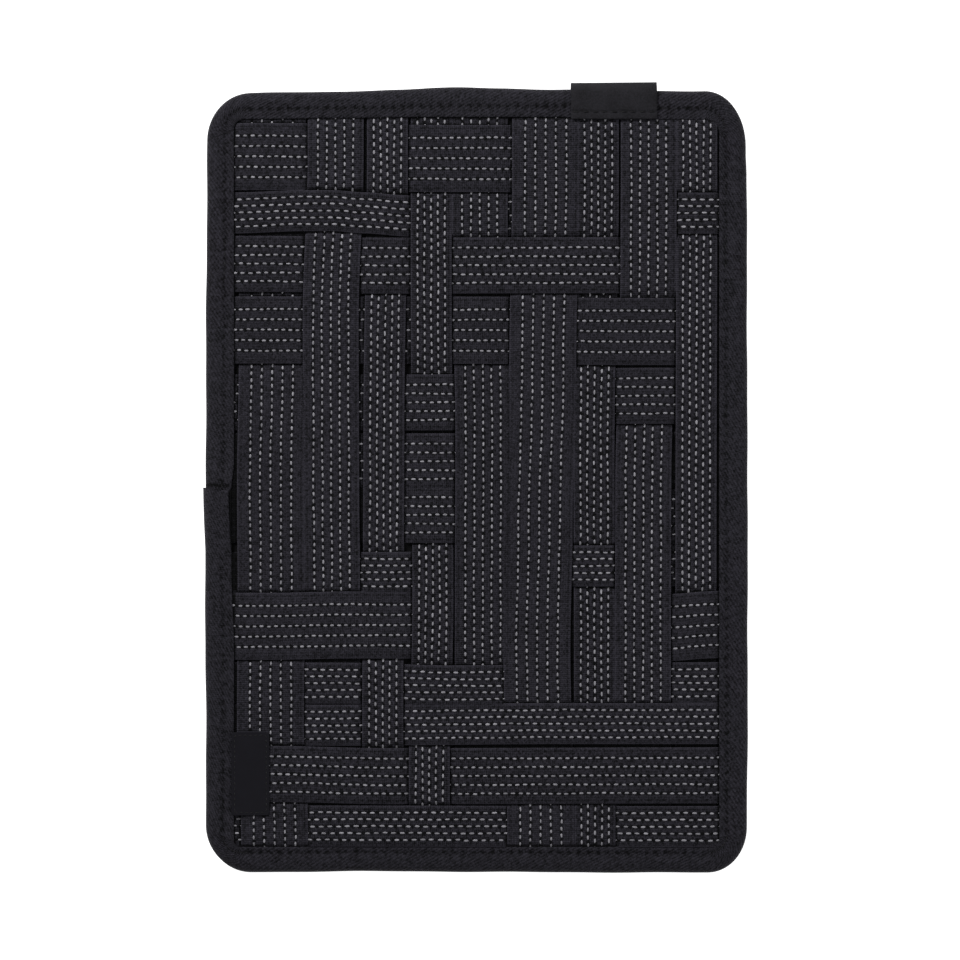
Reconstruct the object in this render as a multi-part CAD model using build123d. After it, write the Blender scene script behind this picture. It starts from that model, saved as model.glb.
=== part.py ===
"""Cable organizer pouch: a stiff board faced with woven elastic straps, bound at the edge, with a
zipped pocket behind it. Millimetres, lying on its back: +Z is the strap side, +Y is the top edge,
and the origin is the centre of the bounding box, on the surface that the pouch lies on."""

import os

from build123d import *

# Outline of the bound edge
WIDTH = 195.0
HEIGHT = 282.0
CORNER_RADIUS = 16.5

# Layers, from the surface that it lies on upwards
PANEL_THICKNESS = 3.7
POCKET_ROOM = 4.3
FLANGE_THICKNESS = 0.8
COVER_THICKNESS = 0.5
BOARD_THICKNESS = 2.0
LINING_THICKNESS = 0.8
STRAP_THICKNESS = 1.1
STRAP_CLEARANCE = 0.1
COVER_BASE = PANEL_THICKNESS + POCKET_ROOM
FLANGE_BASE = COVER_BASE - FLANGE_THICKNESS
BOARD_BASE = COVER_BASE + COVER_THICKNESS
LINING_BASE = BOARD_BASE + BOARD_THICKNESS
LOW_STRAP_BASE = LINING_BASE + LINING_THICKNESS
HIGH_STRAP_BASE = LOW_STRAP_BASE + STRAP_THICKNESS + STRAP_CLEARANCE
STRAP_TOP = HIGH_STRAP_BASE + STRAP_THICKNESS
LAYER_INSET = 0.8
BOARD_INSET = 3.5
STRAP_END_INSET = 3.0

# Binding tape: a U folded round the edge of all the layers
TAPE_THICKNESS = 0.65
BINDING_REACH = 9.0
BINDING_GAP = 0.05
BINDING_ROUND = 0.4
BINDING_INNER_RADIUS = 1.5
BINDING_BASE = FLANGE_BASE - BINDING_GAP - TAPE_THICKNESS
BINDING_TOP = LOW_STRAP_BASE + STRAP_THICKNESS + BINDING_GAP + TAPE_THICKNESS

# The binding's outer end, lapped over its start on the left side
OVERLAP_TOP_Y = -2.5
OVERLAP_LENGTH = 28.0
OVERLAP_PROUD = 0.8

# Folded tab over the top edge
TAB_CENTRE_X = 49.5
TAB_WIDTH = 30.5
TAB_PROUD = 3.0
TAB_THICKNESS = 0.5

# Soft badge that lies on the straps beside the left binding
BADGE_WIDTH = 13.6
BADGE_HEIGHT = 30.0
BADGE_THICKNESS = 0.6
BADGE_CENTRE_Y = -106.0
BADGE_CORNER = 0.8

# Thread
THREAD = 0.45
SEWN_GAP = 0.05
EDGE_STITCH_INSET = 6.5
TAB_STITCH_INSET = 8.2
BADGE_STITCH_INSET = 1.2

# Elastic straps: the widths of the three tapes, then each strap's tape and centre.
# A vertical strap's weave has one letter for each cross strap, from the top edge down:
# "o" where the vertical strap lies over the cross strap and "u" where it lies under it.
STRAP_WIDTHS = {"wide": 24.0, "medium": 20.0, "narrow": 14.6}
VERTICAL_STRAPS = [
    ("wide", -75.0, "uuuuoooouoouo"),
    ("medium", -52.4, "ouoooooouuuuu"),
    ("narrow", -33.6, "ouuoooouuoouu"),
    ("narrow", -16.8, "uooouuuoouuou"),
    ("medium", 1.0, "uouuooooouuuu"),
    ("wide", 23.7, "oouooooooouuo"),
    ("narrow", 43.5, "oouuooouoouuo"),
    ("medium", 61.3, "ooouuooooouuu"),
    ("narrow", 79.4, "ouoooooouuuuu"),
]
CROSS_STRAPS = [
    ("wide", 116.8),
    ("narrow", 96.6),
    ("medium", 77.6),
    ("wide", 54.3),
    ("medium", 29.2),
    ("medium", 7.3),
    ("medium", -13.3),
    ("narrow", -32.0),
    ("wide", -52.7),
    ("narrow", -73.3),
    ("narrow", -88.5),
    ("medium", -106.4),
    ("narrow", -124.2),
]

# Padded pocket panel: a shallow tray, with the zip's window near the top edge
FIELD_INSET = 22.0
FIELD_RADIUS = 10.0
WALL_INSET = 10.0
WALL_THICKNESS = 3.0
WINDOW_CENTRE_Y = 100.0
WINDOW_LENGTH = 144.0
WINDOW_WIDTH = 11.0
WINDOW_RADIUS = 1.5
GROOVE_INSET = 2.0
GROOVE_WIDTH = 0.9
GROOVE_DEPTH = 0.6

# Zip: a No. 3 coil, with its face towards the window
ZIP_TAPE_LENGTH = 154.0
ZIP_TAPE_WIDTH = 12.0
ZIP_TAPE_THICKNESS = 0.5
COIL_LENGTH = 139.0
COIL_INNER_Y = 0.45
COIL_WIDTH = 1.65
COIL_HEIGHT = 1.3
COIL_BASE = PANEL_THICKNESS - COIL_HEIGHT
STOP_LENGTH = 1.4
STOP_WIDTH = 2.1
STOP_BASE = COIL_BASE + 0.3

# Slider, at its closed end
SLIDER_X = 64.5
SLIDER_LENGTH = 8.5
SLIDER_WIDTH = 6.8
SLIDER_PLATE = 0.5
SLIDER_RIM = 0.85
FACE_PLATE_BASE = 1.8
INNER_PLATE_BASE = 4.35
RIM_TOP = 3.55
INNER_PLATE_WIDTH = 6.0
DIVIDER_LENGTH = 1.6
DIVIDER_WIDTH = 0.56
ARCH_BASE = 0.3
ARCH_THICKNESS = 0.45
ARCH_LENGTH = 5.2
ARCH_WIDTH = 1.6
ARCH_FOOT = 0.6

# Pull, lying flat in the window along the closed chain
PULL_AXIS_Z = 1.25
PULL_THICKNESS = 0.8
PULL_LENGTH = 18.0
PULL_WIDTH = 5.0
PULL_ROOT_WIDTH = 3.9
PULL_ARM_WIDTH = 0.85
PULL_PIN_RADIUS = 0.35
PULL_EYE_END = 3.3
PULL_BRIDGE_END = 5.0
PULL_HOLE_RADIUS = 1.1

# The raised tab and overlap move the bounding box's centre, so the whole pouch is moved back
FRAME_SHIFT = Pos(OVERLAP_PROUD / 2, -TAB_PROUD / 2, 0)

OUT = "parts"
os.makedirs(OUT, exist_ok=True)


def slab(length, width, radius, base, top):
    """A rounded rectangle's prism between two heights."""
    return Pos(0, 0, base) * extrude(RectangleRounded(length, width, radius), top - base)


def layer(inset, base, top):
    """A layer of the outline's shape, inset from the bound edge."""
    return slab(WIDTH - 2 * inset, HEIGHT - 2 * inset, CORNER_RADIUS - inset, base, top)


def block(x_range, y_range, z_range):
    """A box between two values on each axis."""
    sizes = [high - low for low, high in (x_range, y_range, z_range)]
    centres = [(high + low) / 2 for low, high in (x_range, y_range, z_range)]
    return Pos(*centres) * Box(*sizes)


def strap_path(crossings, half_length, half_opening):
    """Points (distance along the strap, height of its underside), rising and falling in the
    gaps between the straps that it crosses and ending low, beneath the binding."""
    points = [(-half_length, LOW_STRAP_BASE)]
    last_edge, last_height = -half_opening, LOW_STRAP_BASE
    for start, end, is_over in crossings + [(half_opening, half_opening, False)]:
        height = HIGH_STRAP_BASE if is_over else LOW_STRAP_BASE
        if height != last_height:
            points.append((last_edge + STRAP_CLEARANCE, last_height))
            points.append((start - STRAP_CLEARANCE, height))
        last_edge, last_height = end, height
    points.append((half_length, LOW_STRAP_BASE))
    return points


def strap_solid(path, width):
    """A strap along X with its centre on the X axis, from its path."""
    above = [(along, height + STRAP_THICKNESS) for along, height in reversed(path)]
    profile = make_face(Polyline(*(path + above), close=True))
    return Pos(0, width / 2, 0) * extrude(Plane.XZ * profile, width)


def spans(straps):
    """Each strap's two edges and its index, in order along the axis that it is placed on."""
    edges = []
    for index, strap in enumerate(straps):
        half = STRAP_WIDTHS[strap[0]] / 2
        edges.append((strap[1] - half, strap[1] + half, index))
    return sorted(edges)


def vertical_strap(tape, centre, weave):
    crossings = [(low, high, weave[i] == "o") for low, high, i in spans(CROSS_STRAPS)]
    path = strap_path(crossings, HEIGHT / 2 - STRAP_END_INSET, HEIGHT / 2 - BINDING_REACH)
    return Pos(centre, 0, 0) * Rot(0, 0, 90) * strap_solid(path, STRAP_WIDTHS[tape])


def cross_strap(index, tape, centre):
    weaves = [weave for _, _, weave in VERTICAL_STRAPS]
    crossings = [(low, high, weaves[i][index] == "u") for low, high, i in spans(VERTICAL_STRAPS)]
    path = strap_path(crossings, WIDTH / 2 - STRAP_END_INSET, WIDTH / 2 - BINDING_REACH)
    return Pos(0, centre, 0) * strap_solid(path, STRAP_WIDTHS[tape])


def inset_face(inset, height):
    """A rounded rectangle inset from the bound edge, at one height."""
    return Pos(0, 0, height) * RectangleRounded(WIDTH - 2 * inset, HEIGHT - 2 * inset, FIELD_RADIUS)


def window_shape(growth, base, top):
    """The window's outline grown by one distance all round, as a prism."""
    length, width = WINDOW_LENGTH + 2 * growth, WINDOW_WIDTH + 2 * growth
    return Pos(0, WINDOW_CENTRE_Y, 0) * slab(length, width, WINDOW_RADIUS + growth, base, top)


def pocket_panel():
    """A tray with sloping walls and a flange, cut by the zip's window and its stitch groove."""
    walls = loft([inset_face(FIELD_INSET, 0), inset_face(WALL_INSET, FLANGE_BASE)])
    flange = layer(LAYER_INSET, FLANGE_BASE, COVER_BASE)
    room_floor = inset_face(FIELD_INSET - WALL_THICKNESS, PANEL_THICKNESS)
    room = loft([room_floor, inset_face(WALL_INSET + WALL_THICKNESS, COVER_BASE)])
    window = window_shape(0, 0, COVER_BASE)
    groove = window_shape(GROOVE_INSET + GROOVE_WIDTH, 0, GROOVE_DEPTH)
    groove -= window_shape(GROOVE_INSET, 0, GROOVE_DEPTH)
    return walls + flange - room - window - groove


def window_stitch():
    """The seam that holds the zip's tapes, sunk in its groove."""
    inner = GROOVE_INSET + (GROOVE_WIDTH - THREAD) / 2
    heights = (GROOVE_DEPTH - THREAD, GROOVE_DEPTH)
    return window_shape(inner + THREAD, *heights) - window_shape(inner, *heights)


def binding():
    """The tape's U section carried round the outline."""
    outside = layer(0, BINDING_BASE, BINDING_TOP)
    outside = fillet(outside.edges().filter_by(Axis.Z, reverse=True), BINDING_ROUND)
    inside = layer(TAPE_THICKNESS, BINDING_BASE + TAPE_THICKNESS, BINDING_TOP - TAPE_THICKNESS)
    opening = slab(
        WIDTH - 2 * BINDING_REACH, HEIGHT - 2 * BINDING_REACH, BINDING_INNER_RADIUS, BINDING_BASE, BINDING_TOP
    )
    return outside - inside - opening


def fold_over(reach_out, reach_in, half_width, thickness):
    """A folded strip that grips an edge running along X: its length points out along +Y."""
    x_range = (-half_width, half_width)
    grip = (BINDING_BASE - SEWN_GAP, BINDING_TOP + SEWN_GAP)
    outer = block(x_range, (-reach_in, reach_out), (grip[0] - thickness, grip[1] + thickness))
    return outer - block(x_range, (-reach_in, SEWN_GAP), grip)


def binding_overlap():
    strip = fold_over(OVERLAP_PROUD, BINDING_REACH, OVERLAP_LENGTH / 2, OVERLAP_PROUD - SEWN_GAP * 2)
    return Pos(-WIDTH / 2, OVERLAP_TOP_Y - OVERLAP_LENGTH / 2, 0) * Rot(0, 0, 90) * strip


def top_tab():
    strip = fold_over(TAB_PROUD, BINDING_REACH, TAB_WIDTH / 2, TAB_THICKNESS)
    return Pos(TAB_CENTRE_X, HEIGHT / 2, 0) * strip


def edge_thread(base):
    """One ring of thread near the binding's inner edge, broken where the tab and overlap lie."""
    ring = layer(EDGE_STITCH_INSET, base, base + THREAD)
    ring -= layer(EDGE_STITCH_INSET + THREAD, base, base + THREAD)
    heights = (base - THREAD, base + 2 * THREAD)
    tab_half = TAB_WIDTH / 2 + THREAD
    tab_room = block((TAB_CENTRE_X - tab_half, TAB_CENTRE_X + tab_half), (HEIGHT / 3, HEIGHT / 2), heights)
    overlap_range = (OVERLAP_TOP_Y - OVERLAP_LENGTH - THREAD, OVERLAP_TOP_Y + THREAD)
    overlap_room = block((-WIDTH / 2, -WIDTH / 3), overlap_range, heights)
    return ring - tab_room - overlap_room


def binding_stitch():
    return edge_thread(BINDING_TOP + SEWN_GAP) + edge_thread(BINDING_BASE - SEWN_GAP - THREAD)


def tab_stitch():
    """A straight seam across the tab's front leaf."""
    half = TAB_WIDTH / 2 - 1
    base = BINDING_TOP + 2 * SEWN_GAP + TAB_THICKNESS
    y = HEIGHT / 2 - TAB_STITCH_INSET
    return block((TAB_CENTRE_X - half, TAB_CENTRE_X + half), (y, y + THREAD), (base, base + THREAD))


def badge_place():
    left = -(WIDTH / 2 - BINDING_REACH)
    return Pos(left + BADGE_WIDTH / 2, BADGE_CENTRE_Y, STRAP_TOP + SEWN_GAP)


def badge():
    return badge_place() * slab(BADGE_WIDTH, BADGE_HEIGHT, BADGE_CORNER, 0, BADGE_THICKNESS)


def badge_stitch():
    """The seam that holds the badge, just inside its edge."""
    width = BADGE_WIDTH - 2 * BADGE_STITCH_INSET
    height = BADGE_HEIGHT - 2 * BADGE_STITCH_INSET
    base = BADGE_THICKNESS + SEWN_GAP
    thick = THREAD / 2
    ring = slab(width, height, BADGE_CORNER, base, base + thick) - slab(
        width - 2 * THREAD, height - 2 * THREAD, BADGE_CORNER / 2, base, base + thick
    )
    return badge_place() * ring


def beside_chain(side, width):
    """The Y range of a strip beside the chain's middle; side is 1 for the upper half, -1 for the lower."""
    near = WINDOW_CENTRE_Y + side * COIL_INNER_Y
    return sorted((near, near + side * width))


def zip_tape(side):
    y_range = beside_chain(side, ZIP_TAPE_WIDTH)
    z_range = (PANEL_THICKNESS, PANEL_THICKNESS + ZIP_TAPE_THICKNESS)
    return block((-ZIP_TAPE_LENGTH / 2, ZIP_TAPE_LENGTH / 2), y_range, z_range)


def zip_coil(side):
    """One side of the closed chain, as a bar of the coil's outer shape."""
    x_range = (-COIL_LENGTH / 2, COIL_LENGTH / 2)
    bar = block(x_range, beside_chain(side, COIL_WIDTH), (COIL_BASE, PANEL_THICKNESS))
    return chamfer(bar.edges().filter_by(Axis.X).group_by(Axis.Z)[0], COIL_HEIGHT / 4)


def zip_stop(x, side):
    """A clip beside the chain's end, folded round the tape's edge."""
    x_range = (x - STOP_LENGTH / 2, x + STOP_LENGTH / 2)
    return block(x_range, beside_chain(side, STOP_WIDTH), (STOP_BASE, PANEL_THICKNESS))


def top_stops():
    x = COIL_LENGTH / 2 + STOP_LENGTH
    return zip_stop(x, 1) + zip_stop(x, -1)


def bottom_stop():
    x = -COIL_LENGTH / 2 - STOP_LENGTH
    bridge = block(
        (x - STOP_LENGTH / 2, x + STOP_LENGTH / 2),
        (WINDOW_CENTRE_Y - COIL_INNER_Y, WINDOW_CENTRE_Y + COIL_INNER_Y),
        (STOP_BASE, PANEL_THICKNESS),
    )
    return zip_stop(x, 1) + bridge + zip_stop(x, -1)


def slider_body():
    """Face plate with rims, inner plate, the divider that joins them, and the arch for the pull."""
    face_top = FACE_PLATE_BASE + SLIDER_PLATE
    inner_top = INNER_PLATE_BASE + SLIDER_PLATE
    rim_end = SLIDER_LENGTH / 2 - SLIDER_RIM
    body = slab(SLIDER_LENGTH, SLIDER_WIDTH, SLIDER_RIM, FACE_PLATE_BASE, face_top)
    body += slab(SLIDER_LENGTH, INNER_PLATE_WIDTH, SLIDER_RIM, INNER_PLATE_BASE, inner_top)
    for sign in (-1, 1):
        rim_edges = sorted((sign * SLIDER_WIDTH / 2, sign * (SLIDER_WIDTH / 2 - SLIDER_RIM)))
        body += block((-rim_end, rim_end), rim_edges, (FACE_PLATE_BASE, RIM_TOP))
        foot_edges = sorted((sign * ARCH_LENGTH / 2, sign * (ARCH_LENGTH / 2 - ARCH_FOOT)))
        body += block(foot_edges, (-ARCH_WIDTH / 2, ARCH_WIDTH / 2), (ARCH_BASE, FACE_PLATE_BASE))
    divider_x = (rim_end - DIVIDER_LENGTH, rim_end)
    body += block(divider_x, (-DIVIDER_WIDTH / 2, DIVIDER_WIDTH / 2), (FACE_PLATE_BASE, INNER_PLATE_BASE))
    body += slab(ARCH_LENGTH, ARCH_WIDTH, ARCH_FOOT, ARCH_BASE, ARCH_BASE + ARCH_THICKNESS)
    return Pos(SLIDER_X, WINDOW_CENTRE_Y, 0) * body


def pull_tab():
    """A flat pull with an open eye: its pin lies in the slider's arch."""
    z_range = (-PULL_THICKNESS / 2, PULL_THICKNESS / 2)
    root = PULL_ROOT_WIDTH / 2
    grip = block((-PULL_LENGTH, -PULL_EYE_END), (-PULL_WIDTH / 2, PULL_WIDTH / 2), z_range)
    grip = fillet(grip.edges().filter_by(Axis.Z), PULL_WIDTH / 4)
    grip -= Pos(-PULL_LENGTH + PULL_WIDTH / 2, 0, 0) * Cylinder(PULL_HOLE_RADIUS, PULL_THICKNESS)
    body = grip
    for sign in (-1, 1):
        arm_edges = sorted((sign * root, sign * (root - PULL_ARM_WIDTH)))
        body += block((-PULL_BRIDGE_END, 0), arm_edges, z_range)
        centre = (arm_edges[0] + arm_edges[1]) / 2
        body += Pos(0, centre, 0) * Rot(90, 0, 0) * Cylinder(PULL_THICKNESS / 2, PULL_ARM_WIDTH)
    body += Rot(90, 0, 0) * Cylinder(PULL_PIN_RADIUS, PULL_ROOT_WIDTH - PULL_ARM_WIDTH)
    return Pos(SLIDER_X, WINDOW_CENTRE_Y, PULL_AXIS_Z) * body


def save(node, shape):
    export_step(FRAME_SHIFT * shape, f"{OUT}/{node}.step")


for number, (tape, centre, weave) in enumerate(VERTICAL_STRAPS, 1):
    save(f"vertical_strap_{number}", vertical_strap(tape, centre, weave))

for number, (tape, centre) in enumerate(CROSS_STRAPS, 1):
    save(f"cross_strap_{number:02d}", cross_strap(number - 1, tape, centre))

save("front_lining", layer(LAYER_INSET, LINING_BASE, LOW_STRAP_BASE))
save("core_board", layer(BOARD_INSET, BOARD_BASE, LINING_BASE))
save("back_cover", layer(LAYER_INSET, COVER_BASE, BOARD_BASE))
save("pocket_panel", pocket_panel())
save("window_stitch", window_stitch())
save("binding", binding())
save("binding_overlap", binding_overlap())
save("binding_stitch", binding_stitch())
save("top_tab", top_tab())
save("tab_stitch", tab_stitch())
save("badge", badge())
save("badge_stitch", badge_stitch())
save("zip_tape_upper", zip_tape(1))
save("zip_tape_lower", zip_tape(-1))
save("zip_coil_upper", zip_coil(1))
save("zip_coil_lower", zip_coil(-1))
save("top_stops", top_stops())
save("bottom_stop", bottom_stop())
save("slider_body", slider_body())
save("pull_tab", pull_tab())
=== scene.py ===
"""Cable organizer pouch: woven elastic straps, bound edge, tab, badge and zipped pocket.

Everything is worked out in millimetres from the centre of the bound edge, and placed around the
CAD frame, which is in metres. "along" and "across" are distances on a strap or a tape."""

import math

import bpy
import numpy as np
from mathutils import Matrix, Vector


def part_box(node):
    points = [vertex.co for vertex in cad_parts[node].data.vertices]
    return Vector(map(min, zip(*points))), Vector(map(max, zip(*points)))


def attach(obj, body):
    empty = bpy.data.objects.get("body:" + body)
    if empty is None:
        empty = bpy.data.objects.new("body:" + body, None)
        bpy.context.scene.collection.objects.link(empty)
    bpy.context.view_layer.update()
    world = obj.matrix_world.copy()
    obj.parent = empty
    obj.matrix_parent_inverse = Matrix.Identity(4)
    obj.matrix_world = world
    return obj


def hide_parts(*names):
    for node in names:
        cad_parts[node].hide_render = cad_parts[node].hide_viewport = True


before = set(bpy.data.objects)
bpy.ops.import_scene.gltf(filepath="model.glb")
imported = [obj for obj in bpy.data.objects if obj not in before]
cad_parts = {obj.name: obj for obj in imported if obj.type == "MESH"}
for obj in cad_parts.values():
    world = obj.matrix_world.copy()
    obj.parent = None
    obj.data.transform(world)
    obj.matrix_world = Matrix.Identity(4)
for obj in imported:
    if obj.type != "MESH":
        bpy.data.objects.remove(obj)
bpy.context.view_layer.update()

MM = 0.001
RANDOM = np.random.default_rng(7)


def node_box(node):
    """A node's lowest and highest corners in millimetres, from the centre of the bound edge."""
    low, high = (np.array(corner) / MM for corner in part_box(node))
    return low - CENTRE, high - CENTRE


CENTRE = np.zeros(3)
BINDING_LOW, BINDING_HIGH = node_box("binding")
CENTRE = np.array([*(BINDING_LOW + BINDING_HIGH)[:2] / 2, 0.0])
BINDING_LOW, BINDING_HIGH = node_box("binding")
BINDING_MIDDLE = (BINDING_HIGH[2] + BINDING_LOW[2]) / 2
BINDING_HALF = (BINDING_HIGH[2] - BINDING_LOW[2]) / 2

# Straps
STRAP_THICKNESS = 1.1
SHADE_REACH = 0.9
STRAP_SPREAD = 0.2  # how much wider the soft strap is than its plain CAD strip
EDGE_THICKNESS = 0.55
STRAP_CROWN = 0.12
STEEP_SIDE, SOFT_SIDE = 0.5, 1.5  # how far a rise reaches over the strap it comes from and the next
ROWS = (-2, -1, 0, 1, 2)
WIDE_FROM, MEDIUM_FROM = 22, 17
ROW_PITCH = {"wide": 3.72, "medium": 3.17, "narrow": 2.46}
ROW_PHASE = (0.0, 0.48, 0.75, 0.2, 0.9)  # how far each row is shifted, in dash pitches
DASH_SHARE = 0.54  # of its pitch that a dash covers
DASH_WIDTH = 0.72
DASH_HEIGHT = 0.22
DASH_HIDDEN = 2.2  # dashes this far beneath another strap are left out
NARROW_GAP = 1.5  # and so are those that lie in a gap as narrow as this
SELVEDGE = 1.1  # how wide the thinner edge of a strap is
FAR = 1000  # past the end of every strap

# Each strap's weave from the top edge down or from the left, "o" over and "u" under, the pitch of
# its dashes, and how far its middle wanders sideways at a few places along it.
VERTICAL = [
    ("uuuuoooouoouo", 2.50, [(40, 1.1), (0, 0.5), (-40, 0.7), (-90, 0.5), (-127, 2.0)]),
    ("ouoooooouuuuu", 2.60, [(117, 1.4), (58, -0.4), (-5, -0.2), (-36, 0.1)]),
    ("ouuoooouuoouu", 2.87, [(117, 1.3), (20, 0.0), (-81, -0.4)]),
    ("uooouuuoouuou", 2.88, [(70, 0.3), (-44, 0.9), (-106, -0.4)]),
    ("uouuooooouuuu", 2.58, [(95, 0.0), (13, 1.3), (-40, 1.1)]),
    ("oouooooooouuo", 2.53, [(109, 1.1), (38, 0.0), (-16, -1.3), (-61, -2.1), (-125, -0.7)]),
    ("oouuooouoouuo", 2.84, [(109, 0.3), (9, -1.3), (-60, -1.1), (-125, -0.9)]),
    ("ooouuooooouuu", 2.66, [(112, 0.7), (80, 0.6), (-5, -1.3), (-54, -1.4)]),
    ("ouoooooouuuuu", 2.82, [(100, -0.1), (-30, -0.4)]),
]
CROSS = [
    (2.66, [(-75, -0.1), (-6, -0.8)]),
    (3.15, [(-87, -0.2), (-62, 0.6), (-52, 0.6), (-41, -0.2), (-25, -1.3), (80, -0.3)]),
    (2.84, [(-75, 0.4), (-33, -0.25), (44, -0.1)]),
    (2.50, [(-75, -0.15), (0, -0.25), (55, -0.7)]),
    (2.65, [(-17, -1.2), (61, 1.2)]),
    (2.72, [(-17, -0.6), (40, 0.0)]),
    (2.68, [(-17, 0.7), (40, 0.0)]),
    (2.87, [(-33, -1.4), (43, 1.0)]),
    (2.54, [(-75, -0.1), (-44, 0.4), (68, -0.6), (86, 0.5)]),
    (3.00, [(-51, 0.0), (-9, -1.0), (79, 0.1)]),
    (2.84, [(-51, 0.0), (30, 0.6)]),
    (2.74, [(-73, 0.3), (-31, -0.5), (80, -0.2)]),
    (3.14, [(-56, -0.7), (60, -0.9)]),
]

# Binding: where its inner edge lies on each side, and the seam beside it
INNER_LEFT, INNER_RIGHT = -87.7, 87.4
INNER_BOTTOM, INNER_TOP = -132.4, 130.9
# Corners from the lower left, anticlockwise: the outer arc's reach in X and in Y, the inner radius
CORNERS = [(15.9, 16.1, 2.0), (14.1, 15.4, 3.0), (15.3, 19.0, 5.0), (15.6, 18.1, 3.6)]
LAYER_CORNER = 17.0
LINING_INSET, PANEL_INSET = 1.7, 3.0  # how far the soft layers' edges stay inside their CAD blocks
STITCH_PITCH = 3.4
STITCH_LENGTH = 2.1
THREAD_RADIUS = 0.2
# How far each side of the real outline stands out, at places along it
TOP_BOW = [
    (-84, -1.0), (-75, -0.85), (-49, -0.5), (-28, 0.25), (-6, 1.1), (8, 0.7), (30, 0.2), (66, -0.2),
    (80, -0.3),
]
BOTTOM_BOW = [(-75, 0.8), (-35, 0.5), (10, 0.8), (60, 1.0), (75, 1.0)]
LEFT_BOW = [(110, 0.1), (60, 0.5), (0, 0.6), (-35, 0.9), (-62, 0.75), (-80, 0.55), (-115, 0.5)]
RIGHT_BOW = [(127, -0.5), (119, -0.25), (110, 0.1), (40, 0.2), (0, 0.4), (-100, 0.4), (-125, 0.1)]
INNER_LEFT_BOW = [(6, 0.0), (-3, -1.0), (-22, -1.0), (-36, -0.9), (-43, -0.6), (-58, 0.0)]
INNER_TOP_BOW = [(-85, -0.7), (-50, -0.3), (-20, 0.1), (30, 0.1), (40, -0.7), (85, -0.8)]
BOW_FADE = 16
BINDING_STEP = 0.6
CORNER_STEPS = 36
GATHERS = 9

# The tape's end that laps over its start, the tab and the badge
OVERLAP_TOP, OVERLAP_BOTTOM = -2.5, -30.5
TAB_LEFT, TAB_RIGHT = 33.9, 65.0
TAB_THICKNESS = 0.45
BADGE_SEAM_INSET, BADGE_STITCH_PITCH, BADGE_STITCH_LENGTH = 1.1, 1.9, 1.35

SCENE_SCALE = 346.6  # the width that the camera sees at the straps, in millimetres
CAMERA_LENS = 135.0
CAMERA_SHIFT = 1.08  # how far right of the bound edge's middle the camera stands
SENSOR = 36.0


# ---------------------------------------------------------------- meshes


def to_frame(points):
    """Millimetres from the bound edge's centre, as metres in the CAD frame."""
    return (np.asarray(points, dtype=float) + CENTRE) * MM


def triple(first, second, third):
    """Three grids of numbers that spread over each other, as one grid of points or of values."""
    return np.stack(np.broadcast_arrays(first, second, third), axis=-1)


def unit(vectors):
    return vectors / np.linalg.norm(vectors, axis=1)[:, None]


def distance_along(line):
    """Distance along a line of points, from its first one."""
    return np.concatenate([[0], np.cumsum(np.linalg.norm(np.diff(line, axis=0), axis=1))])


def grid_faces(rows, columns, close_rows=False, close_columns=False):
    """The quads of a grid of points stored row by row."""
    row_ids = np.arange(rows if close_rows else rows - 1)
    column_ids = np.arange(columns if close_columns else columns - 1)
    r, c = np.meshgrid(row_ids, column_ids, indexing="ij")
    next_r, next_c = (r + 1) % rows, (c + 1) % columns
    quads = [r * columns + c, r * columns + next_c, next_r * columns + next_c, next_r * columns + c]
    return np.stack(quads, axis=-1).reshape(-1, 4)


class Shape:
    """Points, faces and named point attributes that grow part by part."""

    def __init__(self, points=(), faces=(), **attributes):
        self.points = []
        self.faces = []
        self.attributes = {}
        self.count = 0
        self.add(points, faces, **attributes)

    def add(self, points, faces, **attributes):
        points = np.asarray(points, dtype=float).reshape(-1, 3)
        self.faces += [[int(i) + self.count for i in face] for face in faces]
        self.points.append(points)
        for name, values in attributes.items():
            values = np.asarray(values, dtype=float)
            values = values.reshape(-1, 3) if values.ndim else values
            full = np.broadcast_to(values, (len(points), 3))
            self.attributes.setdefault(name, []).append(full)
        self.count += len(points)

    def build(self, name, material, slot, *nodes, body="pouch", sharp_angle=None):
        """Makes the piece, hangs it on the body that it rides on and hides the CAD nodes that it stands for.
        The slot is not used.
        """
        mesh = bpy.data.meshes.new(name)
        mesh.from_pydata(to_frame(np.concatenate(self.points)).tolist(), [], self.faces)
        for key, parts in self.attributes.items():
            layer = mesh.attributes.new(key, "FLOAT_VECTOR", "POINT")
            layer.data.foreach_set("vector", np.concatenate(parts).ravel())
        mesh.polygons.foreach_set("use_smooth", np.ones(len(mesh.polygons), dtype=bool))
        if sharp_angle:
            mesh.set_sharp_from_angle(angle=math.radians(sharp_angle))
        mesh.materials.append(material)
        mesh.validate()
        mesh.update()
        piece = bpy.data.objects.new(name, mesh)
        bpy.context.scene.collection.objects.link(piece)
        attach(piece, body)
        if nodes:
            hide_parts(*nodes)
        return piece


def tube(path, radius, sides=6):
    """Points and faces of a round tube along a path of points; radius may differ at each point."""
    path = np.asarray(path, dtype=float)
    radii = np.broadcast_to(radius, len(path))
    ahead = np.roll(path, -1, 0) - np.roll(path, 1, 0)
    ahead[0], ahead[-1] = path[1] - path[0], path[-1] - path[-2]
    ahead = unit(ahead)
    side = np.cross(ahead, [0.0, 0.0, 1.0])
    upright = np.linalg.norm(side, axis=1) < 0.05
    side[upright] = np.array([0.0, 1.0, 0.0])
    side = unit(side)
    other = np.cross(side, ahead)
    angles = np.linspace(0, 2 * math.pi, sides, endpoint=False)[None, :, None]
    ring = np.cos(angles) * side[:, None, :] + np.sin(angles) * other[:, None, :]
    points = path[:, None, :] + ring * radii[:, None, None]
    last = (len(path) - 1) * sides
    faces = grid_faces(len(path), sides, close_columns=True).tolist()
    faces += [list(range(sides))[::-1], list(range(last, last + sides))]
    return points.reshape(-1, 3), faces


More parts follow.
